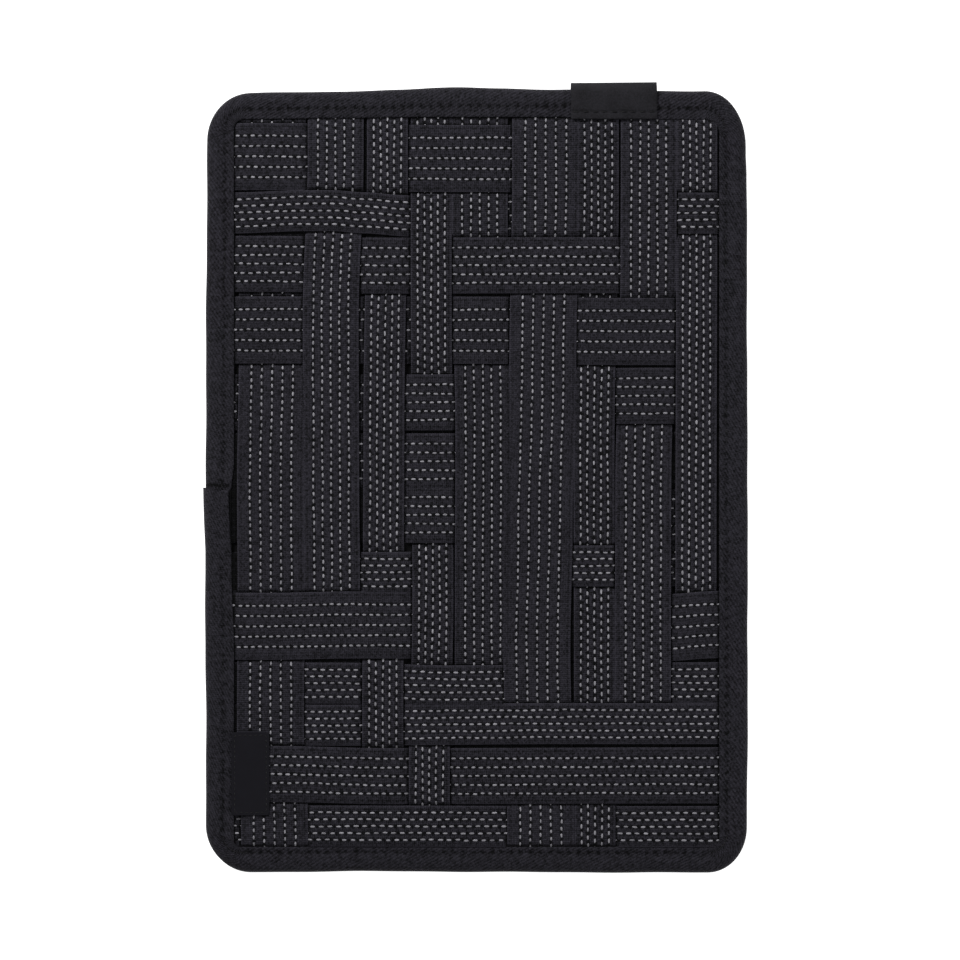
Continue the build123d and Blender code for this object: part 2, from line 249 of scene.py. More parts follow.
def plate(loops, low, high, edge):
    """Points and faces of a flat plate with rounded edges, cut to an outline and its holes."""
    curve = bpy.data.curves.new("outline", "CURVE")
    curve.dimensions = "2D"
    curve.fill_mode = "BOTH"
    curve.extrude = (high - low) / 2 - edge
    curve.bevel_depth = edge
    curve.bevel_resolution = 2
    curve.offset = -edge
    for loop in loops:
        spline = curve.splines.new("POLY")
        spline.points.add(len(loop) - 1)
        for point, (x, y) in zip(spline.points, loop):
            point.co = (x, y, 0, 1)
        spline.use_cyclic_u = True
    holder = bpy.data.objects.new("outline", curve)
    bpy.context.scene.collection.objects.link(holder)
    mesh = bpy.data.meshes.new_from_object(holder.evaluated_get(bpy.context.evaluated_depsgraph_get()))
    points = np.array([vertex.co for vertex in mesh.vertices]) + [0, 0, (low + high) / 2]
    faces = [list(polygon.vertices) for polygon in mesh.polygons]
    bpy.data.objects.remove(holder)
    bpy.data.curves.remove(curve)
    bpy.data.meshes.remove(mesh)
    return points, faces


def rounded_outline(left, right, bottom, top, radius, steps=8):
    """A rounded rectangle's outline, anticlockwise from its lower left."""
    corners = [
        (left + radius, bottom + radius, 180),
        (right - radius, bottom + radius, 270),
        (right - radius, top - radius, 0),
        (left + radius, top - radius, 90),
    ]
    outline = []
    for x, y, start in corners:
        for step in range(steps + 1):
            angle = math.radians(start + 90 * step / steps)
            outline.append((x + radius * math.cos(angle), y + radius * math.sin(angle)))
    return outline


def smooth_step(value):
    value = np.clip(value, 0, 1)
    return value * value * (3 - 2 * value)


def wander(stations):
    """A smooth sideways drift through (along, offset) stations."""
    places, offsets = zip(*sorted(stations))

    def drift(along):
        along = np.asarray(along, dtype=float)
        index = np.clip(np.searchsorted(places, along) - 1, 0, max(len(places) - 2, 0))
        if len(places) == 1:
            return np.full_like(along, offsets[0])
        start, end = np.take(places, index), np.take(places, index + 1)
        share = smooth_step((along - start) / (end - start))
        return np.take(offsets, index) * (1 - share) + np.take(offsets, index + 1) * share

    return drift


# ---------------------------------------------------------------- materials


class Graph:
    """One material's nodes, fed with numbers or with other nodes' sockets."""

    def __init__(self, name, roughness=0.8, specular=0.2, sheen=0.0, metallic=0.0, coat=0.0):
        self.material = bpy.data.materials.new(name)
        self.material.use_nodes = True
        self.tree = self.material.node_tree
        self.shader = self.tree.nodes["Principled BSDF"]
        self.shader.inputs["Roughness"].default_value = roughness
        self.shader.inputs["Specular IOR Level"].default_value = specular
        self.shader.inputs["Sheen Weight"].default_value = sheen
        self.shader.inputs["Sheen Roughness"].default_value = 0.5
        self.shader.inputs["Metallic"].default_value = metallic
        self.shader.inputs["Coat Weight"].default_value = coat

    def feed(self, socket, value):
        if isinstance(value, bpy.types.NodeSocket):
            self.tree.links.new(value, socket)
        else:
            socket.default_value = value

    def math(self, operation, *values, clamp=False):
        node = self.tree.nodes.new("ShaderNodeMath")
        node.operation = operation
        node.use_clamp = clamp
        for socket, value in zip(node.inputs, values):
            self.feed(socket, value)
        return node.outputs[0]

    def add(self, a, b):
        return self.math("ADD", a, b)

    def times(self, a, b):
        return self.math("MULTIPLY", a, b)

    def minus(self, a, b, clamp=False):
        return self.math("SUBTRACT", a, b, clamp=clamp)

    def total(self, *parts):
        """The sum of (value, weight) pairs."""
        result = self.times(*parts[0])
        for value, weight in parts[1:]:
            result = self.add(result, self.times(value, weight))
        return result

    def fade(self, distance, slope):
        """1 where the distance is 0, falling to 0 on both sides of it."""
        return self.minus(1.0, self.times(self.math("ABSOLUTE", distance), slope), clamp=True)

    def split(self, vector):
        node = self.tree.nodes.new("ShaderNodeSeparateXYZ")
        self.feed(node.inputs[0], vector)
        return node.outputs[0], node.outputs[1], node.outputs[2]

    def join(self, x, y, z=0.0):
        node = self.tree.nodes.new("ShaderNodeCombineXYZ")
        for socket, value in zip(node.inputs, (x, y, z)):
            self.feed(socket, value)
        return node.outputs[0]

    def attribute(self, name):
        node = self.tree.nodes.new("ShaderNodeAttribute")
        node.attribute_name = name
        return self.split(node.outputs["Vector"])

    def place(self):
        """The point's place in the CAD frame, in millimetres."""
        node = self.tree.nodes.new("ShaderNodeTexCoord")
        return self.join(*(self.times(value, 1 / MM) for value in self.split(node.outputs["Object"])))

    def noise(self, vector, scale, detail=2.0):
        node = self.tree.nodes.new("ShaderNodeTexNoise")
        self.feed(node.inputs["Vector"], vector)
        node.inputs["Scale"].default_value = scale
        node.inputs["Detail"].default_value = detail
        return node.outputs[0]

    def contrast(self, value, gain):
        """Stretches values round a half."""
        return self.math("ADD", self.times(self.minus(value, 0.5), gain), 0.5, clamp=True)

    def wave(self, distance, pitch):
        """A sine from 0 to 1 that repeats every pitch millimetres."""
        turns = self.times(distance, 2 * math.pi / pitch)
        return self.add(self.times(self.math("SINE", turns), 0.5), 0.5)

    def cells(self, along, across, pick, yarn):
        """A random value for each float of a plain weave."""
        column = self.math("FLOOR", self.times(across, 1 / yarn))
        shift = self.times(self.math("MODULO", column, 2.0), 0.5)
        float_number = self.math("FLOOR", self.add(self.times(along, 1 / pick), shift))
        node = self.tree.nodes.new("ShaderNodeTexWhiteNoise")
        node.noise_dimensions = "2D"
        self.feed(node.inputs["Vector"], self.join(float_number, column))
        return node.outputs["Value"]

    def weave(self, along, across, pick, yarn, jitter):
        """Plain weave: picks across the cloth, shifted by half a pick on every other yarn."""
        column = self.math("FLOOR", self.times(across, 1 / yarn))
        shift = self.times(self.math("MODULO", column, 2.0), pick / 2)
        ridge = self.wave(self.add(self.add(along, shift), self.times(jitter, pick)), pick)
        groove = self.wave(across, yarn)
        return self.total((ridge, 0.65), (groove, 0.35))

    def colour(self, low, high, share):
        node = self.tree.nodes.new("ShaderNodeMix")
        node.data_type = "RGBA"
        self.feed(node.inputs[0], share)
        self.feed(node.inputs[6], (*low, 1.0))
        self.feed(node.inputs[7], (*high, 1.0))
        self.feed(self.shader.inputs["Base Color"], node.outputs[2])

    def rough(self, low, high, share):
        value = self.add(low, self.times(share, high - low))
        self.feed(self.shader.inputs["Roughness"], value)

    def bump(self, height, depth):
        """Raises the surface by up to depth millimetres where height is 1."""
        node = self.tree.nodes.new("ShaderNodeBump")
        node.inputs["Strength"].default_value = 1.0
        node.inputs["Distance"].default_value = depth * MM
        self.feed(node.inputs["Height"], height)
        self.feed(self.shader.inputs["Normal"], node.outputs[0])


def webbing_material():
    """Woven elastic: fine picks across the strap, with painted shade along the rows and in the pits that
    the grip threads dive into, painted shade in a furrow inside each edge and a painted highlight on the
    rolled edge. The gauge attribute holds the dashes' pitch, the rows' pitch and the row's phase;
    selvedge holds the distance from the edge and the painted shade beneath the other straps."""
    g = Graph("elastic_webbing", roughness=0.88, specular=0.1, sheen=0.02)
    along, across, seed = g.attribute("cloth")
    dash_pitch, row_pitch, phase = g.attribute("gauge")
    from_edge, shade, _ = g.attribute("selvedge")
    spot = g.join(along, across, g.times(seed, 37.0))
    grain = g.contrast(g.noise(spot, 1.7, 2.0), 4.0)
    patch = g.noise(spot, 0.16, 2.0)
    floats = g.cells(along, across, 0.72, 0.93)
    picks = g.wave(g.add(along, g.times(grain, 0.12)), 0.72)
    yarns = g.wave(g.add(across, g.times(grain, 0.10)), 0.93)
    cloth = g.total((picks, 0.65), (yarns, 0.35))
    row = g.math("ROUND", g.math("DIVIDE", across, row_pitch))
    row = g.math("MINIMUM", g.math("MAXIMUM", row, ROWS[0]), ROWS[-1])
    # near_row and pit paint shade along the rows' channels and in the pits between the dashes
    near_row = g.fade(g.minus(across, g.times(row, row_pitch)), 1.05)
    turn = g.add(g.math("DIVIDE", along, dash_pitch), phase)
    from_gap = g.times(g.minus(g.math("FRACT", turn), 0.5), dash_pitch)
    pit = g.times(g.fade(from_gap, 1.5), near_row)
    # rim paints a highlight on the rolled edge; furrow paints shade in the furrow just inside it
    rim = g.fade(from_edge, 1.5)
    furrow = g.fade(g.minus(from_edge, 1.2), 2.2)
    # shade paints the shade beneath the other straps and the binding
    tone = g.total(
        (cloth, 0.34), (grain, 0.46), (floats, 0.34), (patch, 0.3), (seed, 0.08), (rim, 0.45),
        (furrow, -0.16), (near_row, -0.24), (pit, -0.55), (shade, -0.6),
    )
    g.colour((0.0008, 0.0008, 0.0011), (0.0310, 0.0292, 0.0385), g.minus(tone, 0.28, clamp=True))
    g.rough(0.8, 0.94, grain)
    g.bump(g.minus(cloth, g.times(pit, 1.2)), 0.15)
    return g.material


def dash_material():
    """Rubber grip thread: light grey, each dash a little lighter or darker, fine strands."""
    g = Graph("grip_dashes", roughness=0.6, specular=0.3)
    along, across, tone = g.attribute("dash")
    strand = g.wave(g.add(across, g.times(along, 0.35)), 0.16)
    speck = g.noise(g.join(along, across, 0.0), 3.0, 2.0)
    g.colour((0.10, 0.098, 0.109), (0.345, 0.338, 0.368), g.total((tone, 0.65), (speck, 0.35)))
    g.bump(strand, 0.03)
    return g.material


def twill_material(name, rib=1.0, slant=0.55):
    """Twill tape: slanted ribs made of short floats."""
    g = Graph(name, roughness=0.88, specular=0.1, sheen=0.02)
    along, across, seed = g.attribute("cloth")
    spot = g.join(along, across, seed)
    grain = g.contrast(g.noise(spot, 1.5, 3.0), 4.0)
    patch = g.noise(spot, 0.3, 3.0)
    # This attribute paints shade at the seam and round the lapped end, and a highlight on the overlap's
    # folded edge.
    painted_shading = g.attribute("painted_shading")[0]
    slanted = g.add(g.times(along, slant), across)
    floats = g.cells(slanted, along, rib, 0.8)
    ribs = g.wave(g.add(slanted, g.times(grain, 0.2)), rib * math.hypot(1, slant))
    steps = g.wave(g.add(along, g.times(across, -0.3)), 0.7)
    cloth = g.total((ribs, 0.75), (steps, 0.25))
    tone = g.total((cloth, 0.32), (grain, 0.46), (patch, 0.34), (floats, 0.22), (painted_shading, -0.75))
    g.colour((0.0010, 0.0010, 0.0014), (0.0330, 0.0312, 0.0405), g.minus(tone, 0.25, clamp=True))
    g.rough(0.8, 0.94, grain)
    g.bump(cloth, 0.16)
    return g.material


def plain_cloth_material(name, thread_pitch, low, high, depth):
    """Plain cloth with a soft grain; thread_pitch is (pick, yarn) in millimetres."""
    g = Graph(name, roughness=0.88, specular=0.1, sheen=0.03)
    along, across, seed = g.attribute("cloth")
    spot = g.join(along, across, seed)
    grain = g.contrast(g.noise(spot, 1.6, 3.0), 3.0)
    patch = g.contrast(g.noise(spot, 0.12, 3.0), 2.0)
    cloth = g.weave(along, across, *thread_pitch, g.times(grain, 0.5))
    tone = g.total((cloth, 0.4), (grain, 0.4), (patch, 0.4))
    g.colour(low, high, g.minus(tone, 0.18, clamp=True))
    g.rough(0.8, 0.94, grain)
    g.bump(cloth, depth)
    return g.material


def thread_material():
    """Polyester thread: three plies twisted together."""
    g = Graph("sewing_thread", roughness=0.6, specular=0.25)
    along, around, seed = g.attribute("cloth")
    ply = g.wave(g.add(along, g.times(around, 0.35)), 0.42)
    fibre = g.noise(g.join(along, around, seed), 4.0, 2.0)
    g.colour((0.0015, 0.0015, 0.0018), (0.0100, 0.0098, 0.0115), g.total((ply, 0.6), (fibre, 0.4)))
    g.bump(ply, 0.06)
    return g.material


def rubber_material():
    """Soft matt badge: fine grain, faintly polished where it is rubbed, and a painted highlight on its raised
    top lip.
    """
    g = Graph("badge_rubber", roughness=0.75, specular=0.1)
    spot = g.place()
    grain = g.noise(spot, 6.0, 2.0)
    rubbed = g.noise(spot, 0.25, 2.0)
    # lip paints a highlight on the badge's raised top edge
    lip = g.attribute("lip")[0]
    g.colour(
        (0.0040, 0.0038, 0.0056), (0.0110, 0.0104, 0.0145), g.total((grain, 0.4), (rubbed, 0.4), (lip, 2.4)))
    g.rough(0.66, 0.82, rubbed)
    g.bump(grain, 0.015)
    return g.material


def hard_material(name, low, high, roughness, grain_scale, depth, **gloss):
    """Moulded nylon, enamel or sheet: a fine grain, with small marks that change the gloss."""
    g = Graph(name, roughness=roughness, **{"specular": 0.5, **gloss})
    spot = g.place()
    grain = g.noise(spot, grain_scale, 3.0)
    marks = g.noise(spot, grain_scale * 0.2, 4.0)
    g.colour(low, high, g.times(grain, marks))
    g.rough(roughness - 0.1, roughness + 0.15, marks)
    g.bump(grain, depth)
    return g.material


# ---------------------------------------------------------------- straps


class Strap:
    """One elastic strap: where it runs, how it rises over and dives under the others."""

    def __init__(self, node, is_vertical, weave, crossed, dash_pitch, stations, seed):
        self.node = node
        self.is_vertical = is_vertical
        self.seed = seed
        low, high = node_box(node)
        axis = 0 if is_vertical else 1
        self.centre = (low[axis] + high[axis]) / 2
        cad_width = high[axis] - low[axis]
        self.half_width = (cad_width + STRAP_SPREAD) / 2
        self.half_length = (high[1 - axis] - low[1 - axis]) / 2
        kind = "wide" if cad_width > WIDE_FROM else "medium" if cad_width > MEDIUM_FROM else "narrow"
        self.row_pitch = ROW_PITCH[kind]
        self.dash_pitch = dash_pitch
        self.phases = [
            seed + shift + 0.06 * math.sin(9 * seed + 4 * number) for number, shift in enumerate(ROW_PHASE)
        ]
        self.drift = wander(stations)
        self.low_level = low[2] + STRAP_THICKNESS / 2
        self.high_level = high[2] - STRAP_THICKNESS / 2
        self.crossings = self.find_crossings(weave, crossed)
        self.steps = self.find_steps()
        self.covers = self.find_covers()

    def find_crossings(self, weave, crossed):
        """(start, end, whether this strap is on top) of each strap crossed, in order."""
        axis = 1 if self.is_vertical else 0
        found = []
        for letter, (node, stations) in zip(weave, crossed):
            low, high = node_box(node)
            spread = STRAP_SPREAD / 2
            shift = float(wander(stations)(self.centre))
            found.append((low[axis] - spread + shift, high[axis] + spread + shift, letter == "o"))
        return sorted(found)

    def between_bindings(self, stretches):
        """The stretches with those at both ends that lie beneath the binding."""
        ends = (INNER_BOTTOM, INNER_TOP) if self.is_vertical else (INNER_LEFT, INNER_RIGHT)
        return [(-FAR, ends[0], False), *stretches, (ends[1], FAR, False)]

    def find_steps(self):
        """(start, end, rise) of each change of level along the strap."""
        path = self.between_bindings(self.crossings)
        steps = []
        for (_, edge, was_over), (next_edge, _, is_over) in zip(path, path[1:]):
            if was_over == is_over:
                continue
            before, after = (STEEP_SIDE, SOFT_SIDE) if is_over else (SOFT_SIDE, STEEP_SIDE)
            first, last = min(edge, next_edge), max(edge, next_edge)
            steps.append((first - before, last + after, 1 if is_over else -1))
        return steps

    def level(self, along):
        height = np.full_like(along, self.low_level)
        for start, end, rise in self.steps:
            height += rise * (self.high_level - self.low_level) * smooth_step((along - start) / (end - start))
        return height

    def nearest_row(self, across):
        return np.clip(np.round(across / self.row_pitch), ROWS[0], ROWS[-1])

    def section(self, across):
        """Half the strap's thickness at a distance from its middle line, and its crown."""
        share = np.clip(np.abs(across) / self.half_width, 0, 1)
        edge = smooth_step((share * self.half_width - (self.half_width - SELVEDGE)) / SELVEDGE)
        half = STRAP_THICKNESS / 2 * (1 - edge) + EDGE_THICKNESS / 2 * edge
        off_row = across - self.nearest_row(across) * self.row_pitch
        channel = 0.07 * np.exp(-((off_row / 0.5) ** 2))
        crown = STRAP_CROWN * (1 - share**2)
        return half, crown - channel

    def surface(self, along, across, height, side=1):
        """Points above the strap's top face, or below its underside where side is -1."""
        along, across, height = np.broadcast_arrays(along, across, height)
        half, crown = self.section(across)
        lift = crown if side > 0 else 0
        z = self.level(along) + side * (half + height) + lift
        sideways = self.centre + self.drift(along) + across
        if self.is_vertical:
            return np.stack([sideways, along, z], axis=-1)
        return np.stack([along, sideways, z], axis=-1)

    def stations(self):
        """Places along the strap: close together where it changes level, wide apart elsewhere."""
        places = [np.arange(-self.half_length, self.half_length, 2.4), [self.half_length]]
        for start, end, _ in self.steps:
            places.append(np.linspace(start, end, 9))
        for start, end in self.covers:
            places.append([start - SHADE_REACH, start, end, end + SHADE_REACH])
        along = np.unique(np.round(np.concatenate(places), 2))
        return along[np.abs(along) <= self.half_length]

    def body(self):
        """The strap as one closed strip with rounded selvedges."""
        along = self.stations()
        marks = [0.0, 0.25, 0.7, 1.2]
        edges = [self.half_width - mark for mark in marks]
        channels = [row * self.row_pitch + offset for row in ROWS for offset in (-0.8, -0.35, 0, 0.35, 0.8)]
        inside = [value for value in channels if abs(value) < self.half_width - 1.6]
        across = np.array(sorted(set(np.round([*edges, *[-e for e in edges], *inside], 3))))
        top = self.surface(along[:, None], across[None, :], 0.0)
        under = self.surface(along[:, None], across[::-1][None, :], 0.0, side=-1)
        rings = np.concatenate([top, under], axis=1)
        columns = rings.shape[1]
        faces = grid_faces(len(along), columns, close_columns=True)
        last = (len(along) - 1) * columns
        caps = [list(range(columns)), list(range(last, last + columns))[::-1]]
        if self.is_vertical:
            faces = faces[:, ::-1]
            caps = [cap[::-1] for cap in caps]
        sides = np.concatenate([across, across[::-1]])
        phase = np.take(self.phases, self.nearest_row(sides).astype(int) - ROWS[0])
        length = along[:, None]
        cloth = triple(length, sides[None, :], self.seed)
        gauge = triple(self.dash_pitch + 0 * length, self.row_pitch, phase)
        selvedge = triple(self.half_width - np.abs(sides)[None, :], self.shade(along)[:, None], 0.0)
        return Shape(rings, faces.tolist() + caps, cloth=cloth, gauge=gauge, selvedge=selvedge)

    def find_covers(self):
        """(start, end) of each stretch whose dashes are out of sight: beneath the binding and
        the other straps, with the narrow gaps between them."""
        beneath = [crossing for crossing in self.crossings if not crossing[2]]
        covers = []
        for start, end, _ in self.between_bindings(beneath):
            if covers and start - covers[-1][1] < NARROW_GAP:
                covers[-1] = (covers[-1][0], end)
            else:
                covers.append((start, end))
        return covers

    def shade(self, along):
        """1 beneath the binding and the other straps, fading out just beyond their edges."""
        amount = np.zeros_like(along)
        for start, end in self.covers:
            outside = np.maximum(np.maximum(start - along, along - end), 0)
            amount = np.maximum(amount, np.clip(1 - outside / SHADE_REACH, 0, 1))
        return amount

    def is_hidden(self, along):
        return any(start + DASH_HIDDEN < along < end - DASH_HIDDEN for start, end in self.covers)

    def dashes(self):
        """Rows of short raised floats of grip thread, every other row half a pitch along."""
        places = []
        count = int(self.half_length / self.dash_pitch) + 1
        for row, phase in zip(ROWS, self.phases):
            for number in range(-count, count + 1):
                along = (number - phase) * self.dash_pitch
                if not self.is_hidden(along):
                    places.append((along, row * self.row_pitch))
        places = np.array(places)
        along_share = np.array([-1, -0.82, -0.45, 0, 0.45, 0.82, 1])
        outline = np.sqrt(np.clip(1 - np.abs(along_share) ** 3.4, 0, 1))
        outline[[0, -1]] = 0.4
        angle = np.linspace(0, math.pi, 6)
        total = len(places)
        longer = 1 + RANDOM.normal(0, 0.06, total)
        wider = 1 + RANDOM.normal(0, 0.07, total)
        nudge = RANDOM.normal(0, 0.06, (total, 2))
        tilt = RANDOM.normal(0, 0.03, total)
        tone = np.clip(RANDOM.normal(0.5, 0.22, total), 0, 1)
        half_length = DASH_SHARE * self.dash_pitch / 2

        def each(values):
            """One value for each dash, ready to spread over its stations and its section."""
            return values[:, None, None]

        outline = outline[None, :, None]
        step = along_share[None, :, None] * each(half_length * longer)
        along = each(places[:, 0]) + each(nudge[:, 0]) + step + 0 * angle
        reach = each(DASH_WIDTH / 2 * wider) * outline * np.cos(angle)
        waver = 0.09 * np.sin(along / 6.5 + 3.1 * each(places[:, 1]) + 6 * self.seed)
        across = each(places[:, 1]) + each(nudge[:, 1]) + reach + each(tilt) * step + waver
        points = self.surface(along, across, DASH_HEIGHT * outline * np.sin(angle) - 0.05)
        cell = grid_faces(len(along_share), len(angle))
        if not self.is_vertical:
            cell = cell[:, ::-1]
        size = len(along_share) * len(angle)
        faces = (cell[None, :, :] + each(np.arange(total) * size)).reshape(-1, 4)
        return Shape(points, faces.tolist(), dash=triple(along, across, each(tone)))


def make_straps(webbing, grip):
    verticals = [(f"vertical_strap_{number}", row[-1]) for number, row in enumerate(VERTICAL, 1)]
    crosses = [(f"cross_strap_{number:02d}", row[-1]) for number, row in enumerate(CROSS, 1)]
    straps = []
    for (node, _), (weave, pitch, stations) in zip(verticals, VERTICAL):
        straps.append(Strap(node, True, weave, crosses, pitch, stations, RANDOM.random()))
    swap = {"o": "u", "u": "o"}
    for number, ((node, _), (pitch, stations)) in enumerate(zip(crosses, CROSS)):
        weave = [swap[weave[number]] for weave, _, _ in VERTICAL]
        straps.append(Strap(node, False, weave, verticals, pitch, stations, RANDOM.random()))
    for strap in straps:
        strap.body().build(f"{strap.node}_webbing", webbing, "elastic_webbing", strap.node)
        strap.dashes().build(f"{strap.node}_grip_dashes", grip, "elastic_webbing")


# ---------------------------------------------------------------- binding


def edge_loops():
    """The outer and the inner edge of the binding, point for point, and the distance along.

    Both start at the top of the left side's straight and run down it, so that they go
    anticlockwise seen from above."""
    left, bottom = BINDING_LOW[:2]
    right, top = BINDING_HIGH[:2]

    def arc(corner, reach_x, reach_y, start):
        x = corner[0] - math.copysign(reach_x, corner[0])
        y = corner[1] - math.copysign(reach_y, corner[1])
        angles = np.radians(np.linspace(start, start + 90, CORNER_STEPS + 1))
        return np.stack([x + reach_x * np.cos(angles), y + reach_y * np.sin(angles)], axis=1)

    corners = [
        ((left, bottom), (INNER_LEFT, INNER_BOTTOM), 180),
        ((right, bottom), (INNER_RIGHT, INNER_BOTTOM), 270),
        ((right, top), (INNER_RIGHT, INNER_TOP), 0),
        ((left, top), (INNER_LEFT, INNER_TOP), 90),
    ]
    arcs = [
        np.hstack([arc(outer, reach_x, reach_y, start), arc(inner, radius, radius, start)])
        for (outer, inner, start), (reach_x, reach_y, radius) in zip(corners, CORNERS)
    ]
    parts = []
    for before, after in zip([arcs[-1], *arcs], arcs):
        length = np.linalg.norm((after[0] - before[-1])[:2])
        share = np.linspace(0, 1, int(length / BINDING_STEP))[1:-1, None]
        parts += [before[-1] * (1 - share) + after[0] * share, after]
    outer, inner = np.split(np.concatenate(parts), 2, axis=1)
    along = distance_along(outer)
    inner[:, 1] += np.clip((inner[:, 1] - 110) / 15, 0, 1) * wander(INNER_TOP_BOW)(inner[:, 0])
    inner[:, 0] += np.clip(-inner[:, 0] - 85, 0, 1) * wander(INNER_LEFT_BOW)(inner[:, 1])
    return bowed(outer), inner, along


def bowed(outer):
    """The real edge isn't quite straight: each side bows and ripples a little."""
    x, y = outer.T
    half_x, half_y = BINDING_HIGH[:2]

    def near(past_middle, half):
        """0 well inside the edge, rising to 1 at it."""
        return np.clip((past_middle - half + BOW_FADE) / BOW_FADE, 0, 1)

    ripple = 0.07 * np.sin((x + y) / 9.0) + 0.05 * np.sin((x - y) / 4.3 + 1)
    right, left = near(x, half_x), near(-x, half_x)
    top, bottom = near(y, half_y), near(-y, half_y)
    out_x = right * (wander(RIGHT_BOW)(y) + ripple) - left * (wander(LEFT_BOW)(y) + ripple)
    out_y = top * (wander(TOP_BOW)(x) + ripple) - bottom * (wander(BOTTOM_BOW)(x) + ripple)
    return np.stack([x + out_x, y + out_y], axis=1)


# The tape's section: (share of the way from the outer to the inner edge, height above the middle
# of the bound edge as a share of half its thickness), round the outside and back inside the fold
SECTION = [
    (1.000, 0.84), (1.000, 0.93), (0.985, 0.985), (0.95, 1.01), (0.90, 1.02), (0.86, 1.02),
    (0.82, 1.02), (0.78, 1.02), (0.74, 1.02), (0.70, 1.02), (0.66, 1.03), (0.62, 1.03),
    (0.58, 1.04), (0.52, 1.04), (0.44, 1.04), (0.34, 1.01), (0.24, 0.94), (0.15, 0.83),
    (0.08, 0.67), (0.03, 0.42), (0.000, 0.12), (0.000, -0.12), (0.03, -0.42), (0.08, -0.67),
    (0.15, -0.83), (0.24, -0.94), (0.36, -1.01), (0.50, -1.03), (0.58, -1.02), (0.62, -1.02),
    (0.66, -1.02), (0.70, -1.02), (0.74, -1.02), (0.78, -1.02), (0.82, -1.02), (0.88, -1.02),
    (0.94, -1.01), (0.985, -0.98), (1.000, -0.92), (1.000, -0.84),
    (0.90, -0.81), (0.60, -0.79), (0.30, -0.76), (0.14, -0.58), (0.085, 0.00), (0.14, 0.58),
    (0.30, 0.76), (0.60, 0.79), (0.90, 0.82),
]
SHARES, LEVELS = np.array(SECTION).T
OUTSIDE_POINTS = 40


def binding_surface(outer, inner, along, raised=0.0):
    """Points of the tape carried round the two edges: dimpled at the seam, gathered at corners."""
    share, face = SHARES[None, :], np.sign(LEVELS)[None, :]
    raised = np.broadcast_to(raised, along.shape)[:, None]
    flat = outer[:, None, :] + (inner - outer)[:, None, :] * share[:, :, None]
    outward = unit(outer - inner)
    swell = (np.arange(len(SECTION)) < OUTSIDE_POINTS)[None, :]
    edge_share = np.clip(1 - share * 6, 0, 1) * swell
    flat = flat + outward[:, None, :] * (raised * edge_share)[:, :, None]
    seam, dimple = seam_dimples(outward, along)
    corner = corner_amount(outer)[:, None]
    turn = np.arctan2(outward[:, 1], outward[:, 0])[:, None]
    arch = np.sin(share * math.pi)
    uneven = 0.07 * np.sin(along / 11.0)[:, None] + 0.05 * np.sin(along / 4.7 + 2)[:, None]
    lift = raised * (1 - edge_share * 0.6) - seam * (0.02 + 0.36 * dimple)
    lift += (0.16 * corner * np.cos(turn * 4 * GATHERS) + uneven) * arch
    z = BINDING_MIDDLE + LEVELS * BINDING_HALF + face * swell * lift
    return np.concatenate([flat, z[:, :, None]], axis=2)


def tape_attributes(along, painted_shading):
    """The tape's cloth coordinates, and how much painted shade each point gets; below 0 it is a painted
    highlight.
    """
    width = INNER_LEFT - BINDING_LOW[0]
    around = distance_along(np.array(SECTION) * [width, BINDING_HALF])
    return {"cloth": triple(along[:, None], around[None, :], 0.3), "painted_shading": triple(painted_shading, 0.0, 0.0)}


def seam_dimples(outward, along):
    """How near each point of the tape is to the seam's line, and to a stitch's hole."""
    seam = np.exp(-(((SHARES[None, :] - seam_share(outward)[:, None]) * 9 / 0.62) ** 2))
    dimple = 0.5 + 0.5 * np.cos(along * 2 * math.pi / STITCH_PITCH)
    strength = (0.75 + 0.25 * np.sin(along * 1.9)) * (0.55 + 0.45 * np.abs(outward[:, 1]))
    return seam, (dimple**2 * strength)[:, None]


def seam_share(outward):
    """The seam's place between the outer and the inner edge: it runs nearer the inner edge
    along the bottom and the right."""
    return 0.70 + 0.06 * outward[:, 0] - 0.08 * outward[:, 1]


def corner_amount(outer):
    """1 in the middle of a rounded corner and 0 along the straight sides."""
    left, bottom = BINDING_LOW[:2]
    right, top = BINDING_HIGH[:2]
    reach = CORNERS[0][0]
    near_x = np.clip(1 - np.minimum(outer[:, 0] - left, right - outer[:, 0]) / reach, 0, 1)
    near_y = np.clip(1 - np.minimum(outer[:, 1] - bottom, top - outer[:, 1]) / reach, 0, 1)
    return smooth_step(near_x * near_y * 6)


def make_binding(twill, thread):
    outer, inner, along = edge_loops()
    points = binding_surface(outer, inner, along)
    seam, dimple = seam_dimples(unit(outer - inner), along)
    x, y = points[:, :, 0], points[:, :, 1]
    # Painted shade: on the base tape beside the lapped end, a painted shadow line just above its top edge,
    # and in the seam's stitch holes and along its line.
    lapped = smooth_step((OVERLAP_TOP - y) / 1.5) * smooth_step((y - OVERLAP_BOTTOM - 3) / 9)
    lapped = lapped * smooth_step((x - INNER_LEFT + 2.3) / 0.8) * (x < INNER_LEFT + 1)
    shadow = np.exp(-(((y - OVERLAP_TOP - 0.6) / 0.6) ** 2)) * (x < INNER_LEFT - 1.6) * 0.7
    painted_shading = np.maximum(np.maximum(seam * (0.1 + 0.8 * dimple), lapped), shadow)
    faces = grid_faces(len(along), len(SECTION), close_rows=True, close_columns=True)
    tape = Shape(points, faces, **tape_attributes(along, painted_shading))
    tape.build("binding_tape", twill, "binding_tape", "binding")
    make_overlap(outer, inner, along, twill)
    make_edge_stitches(outer, inner, along, thread)


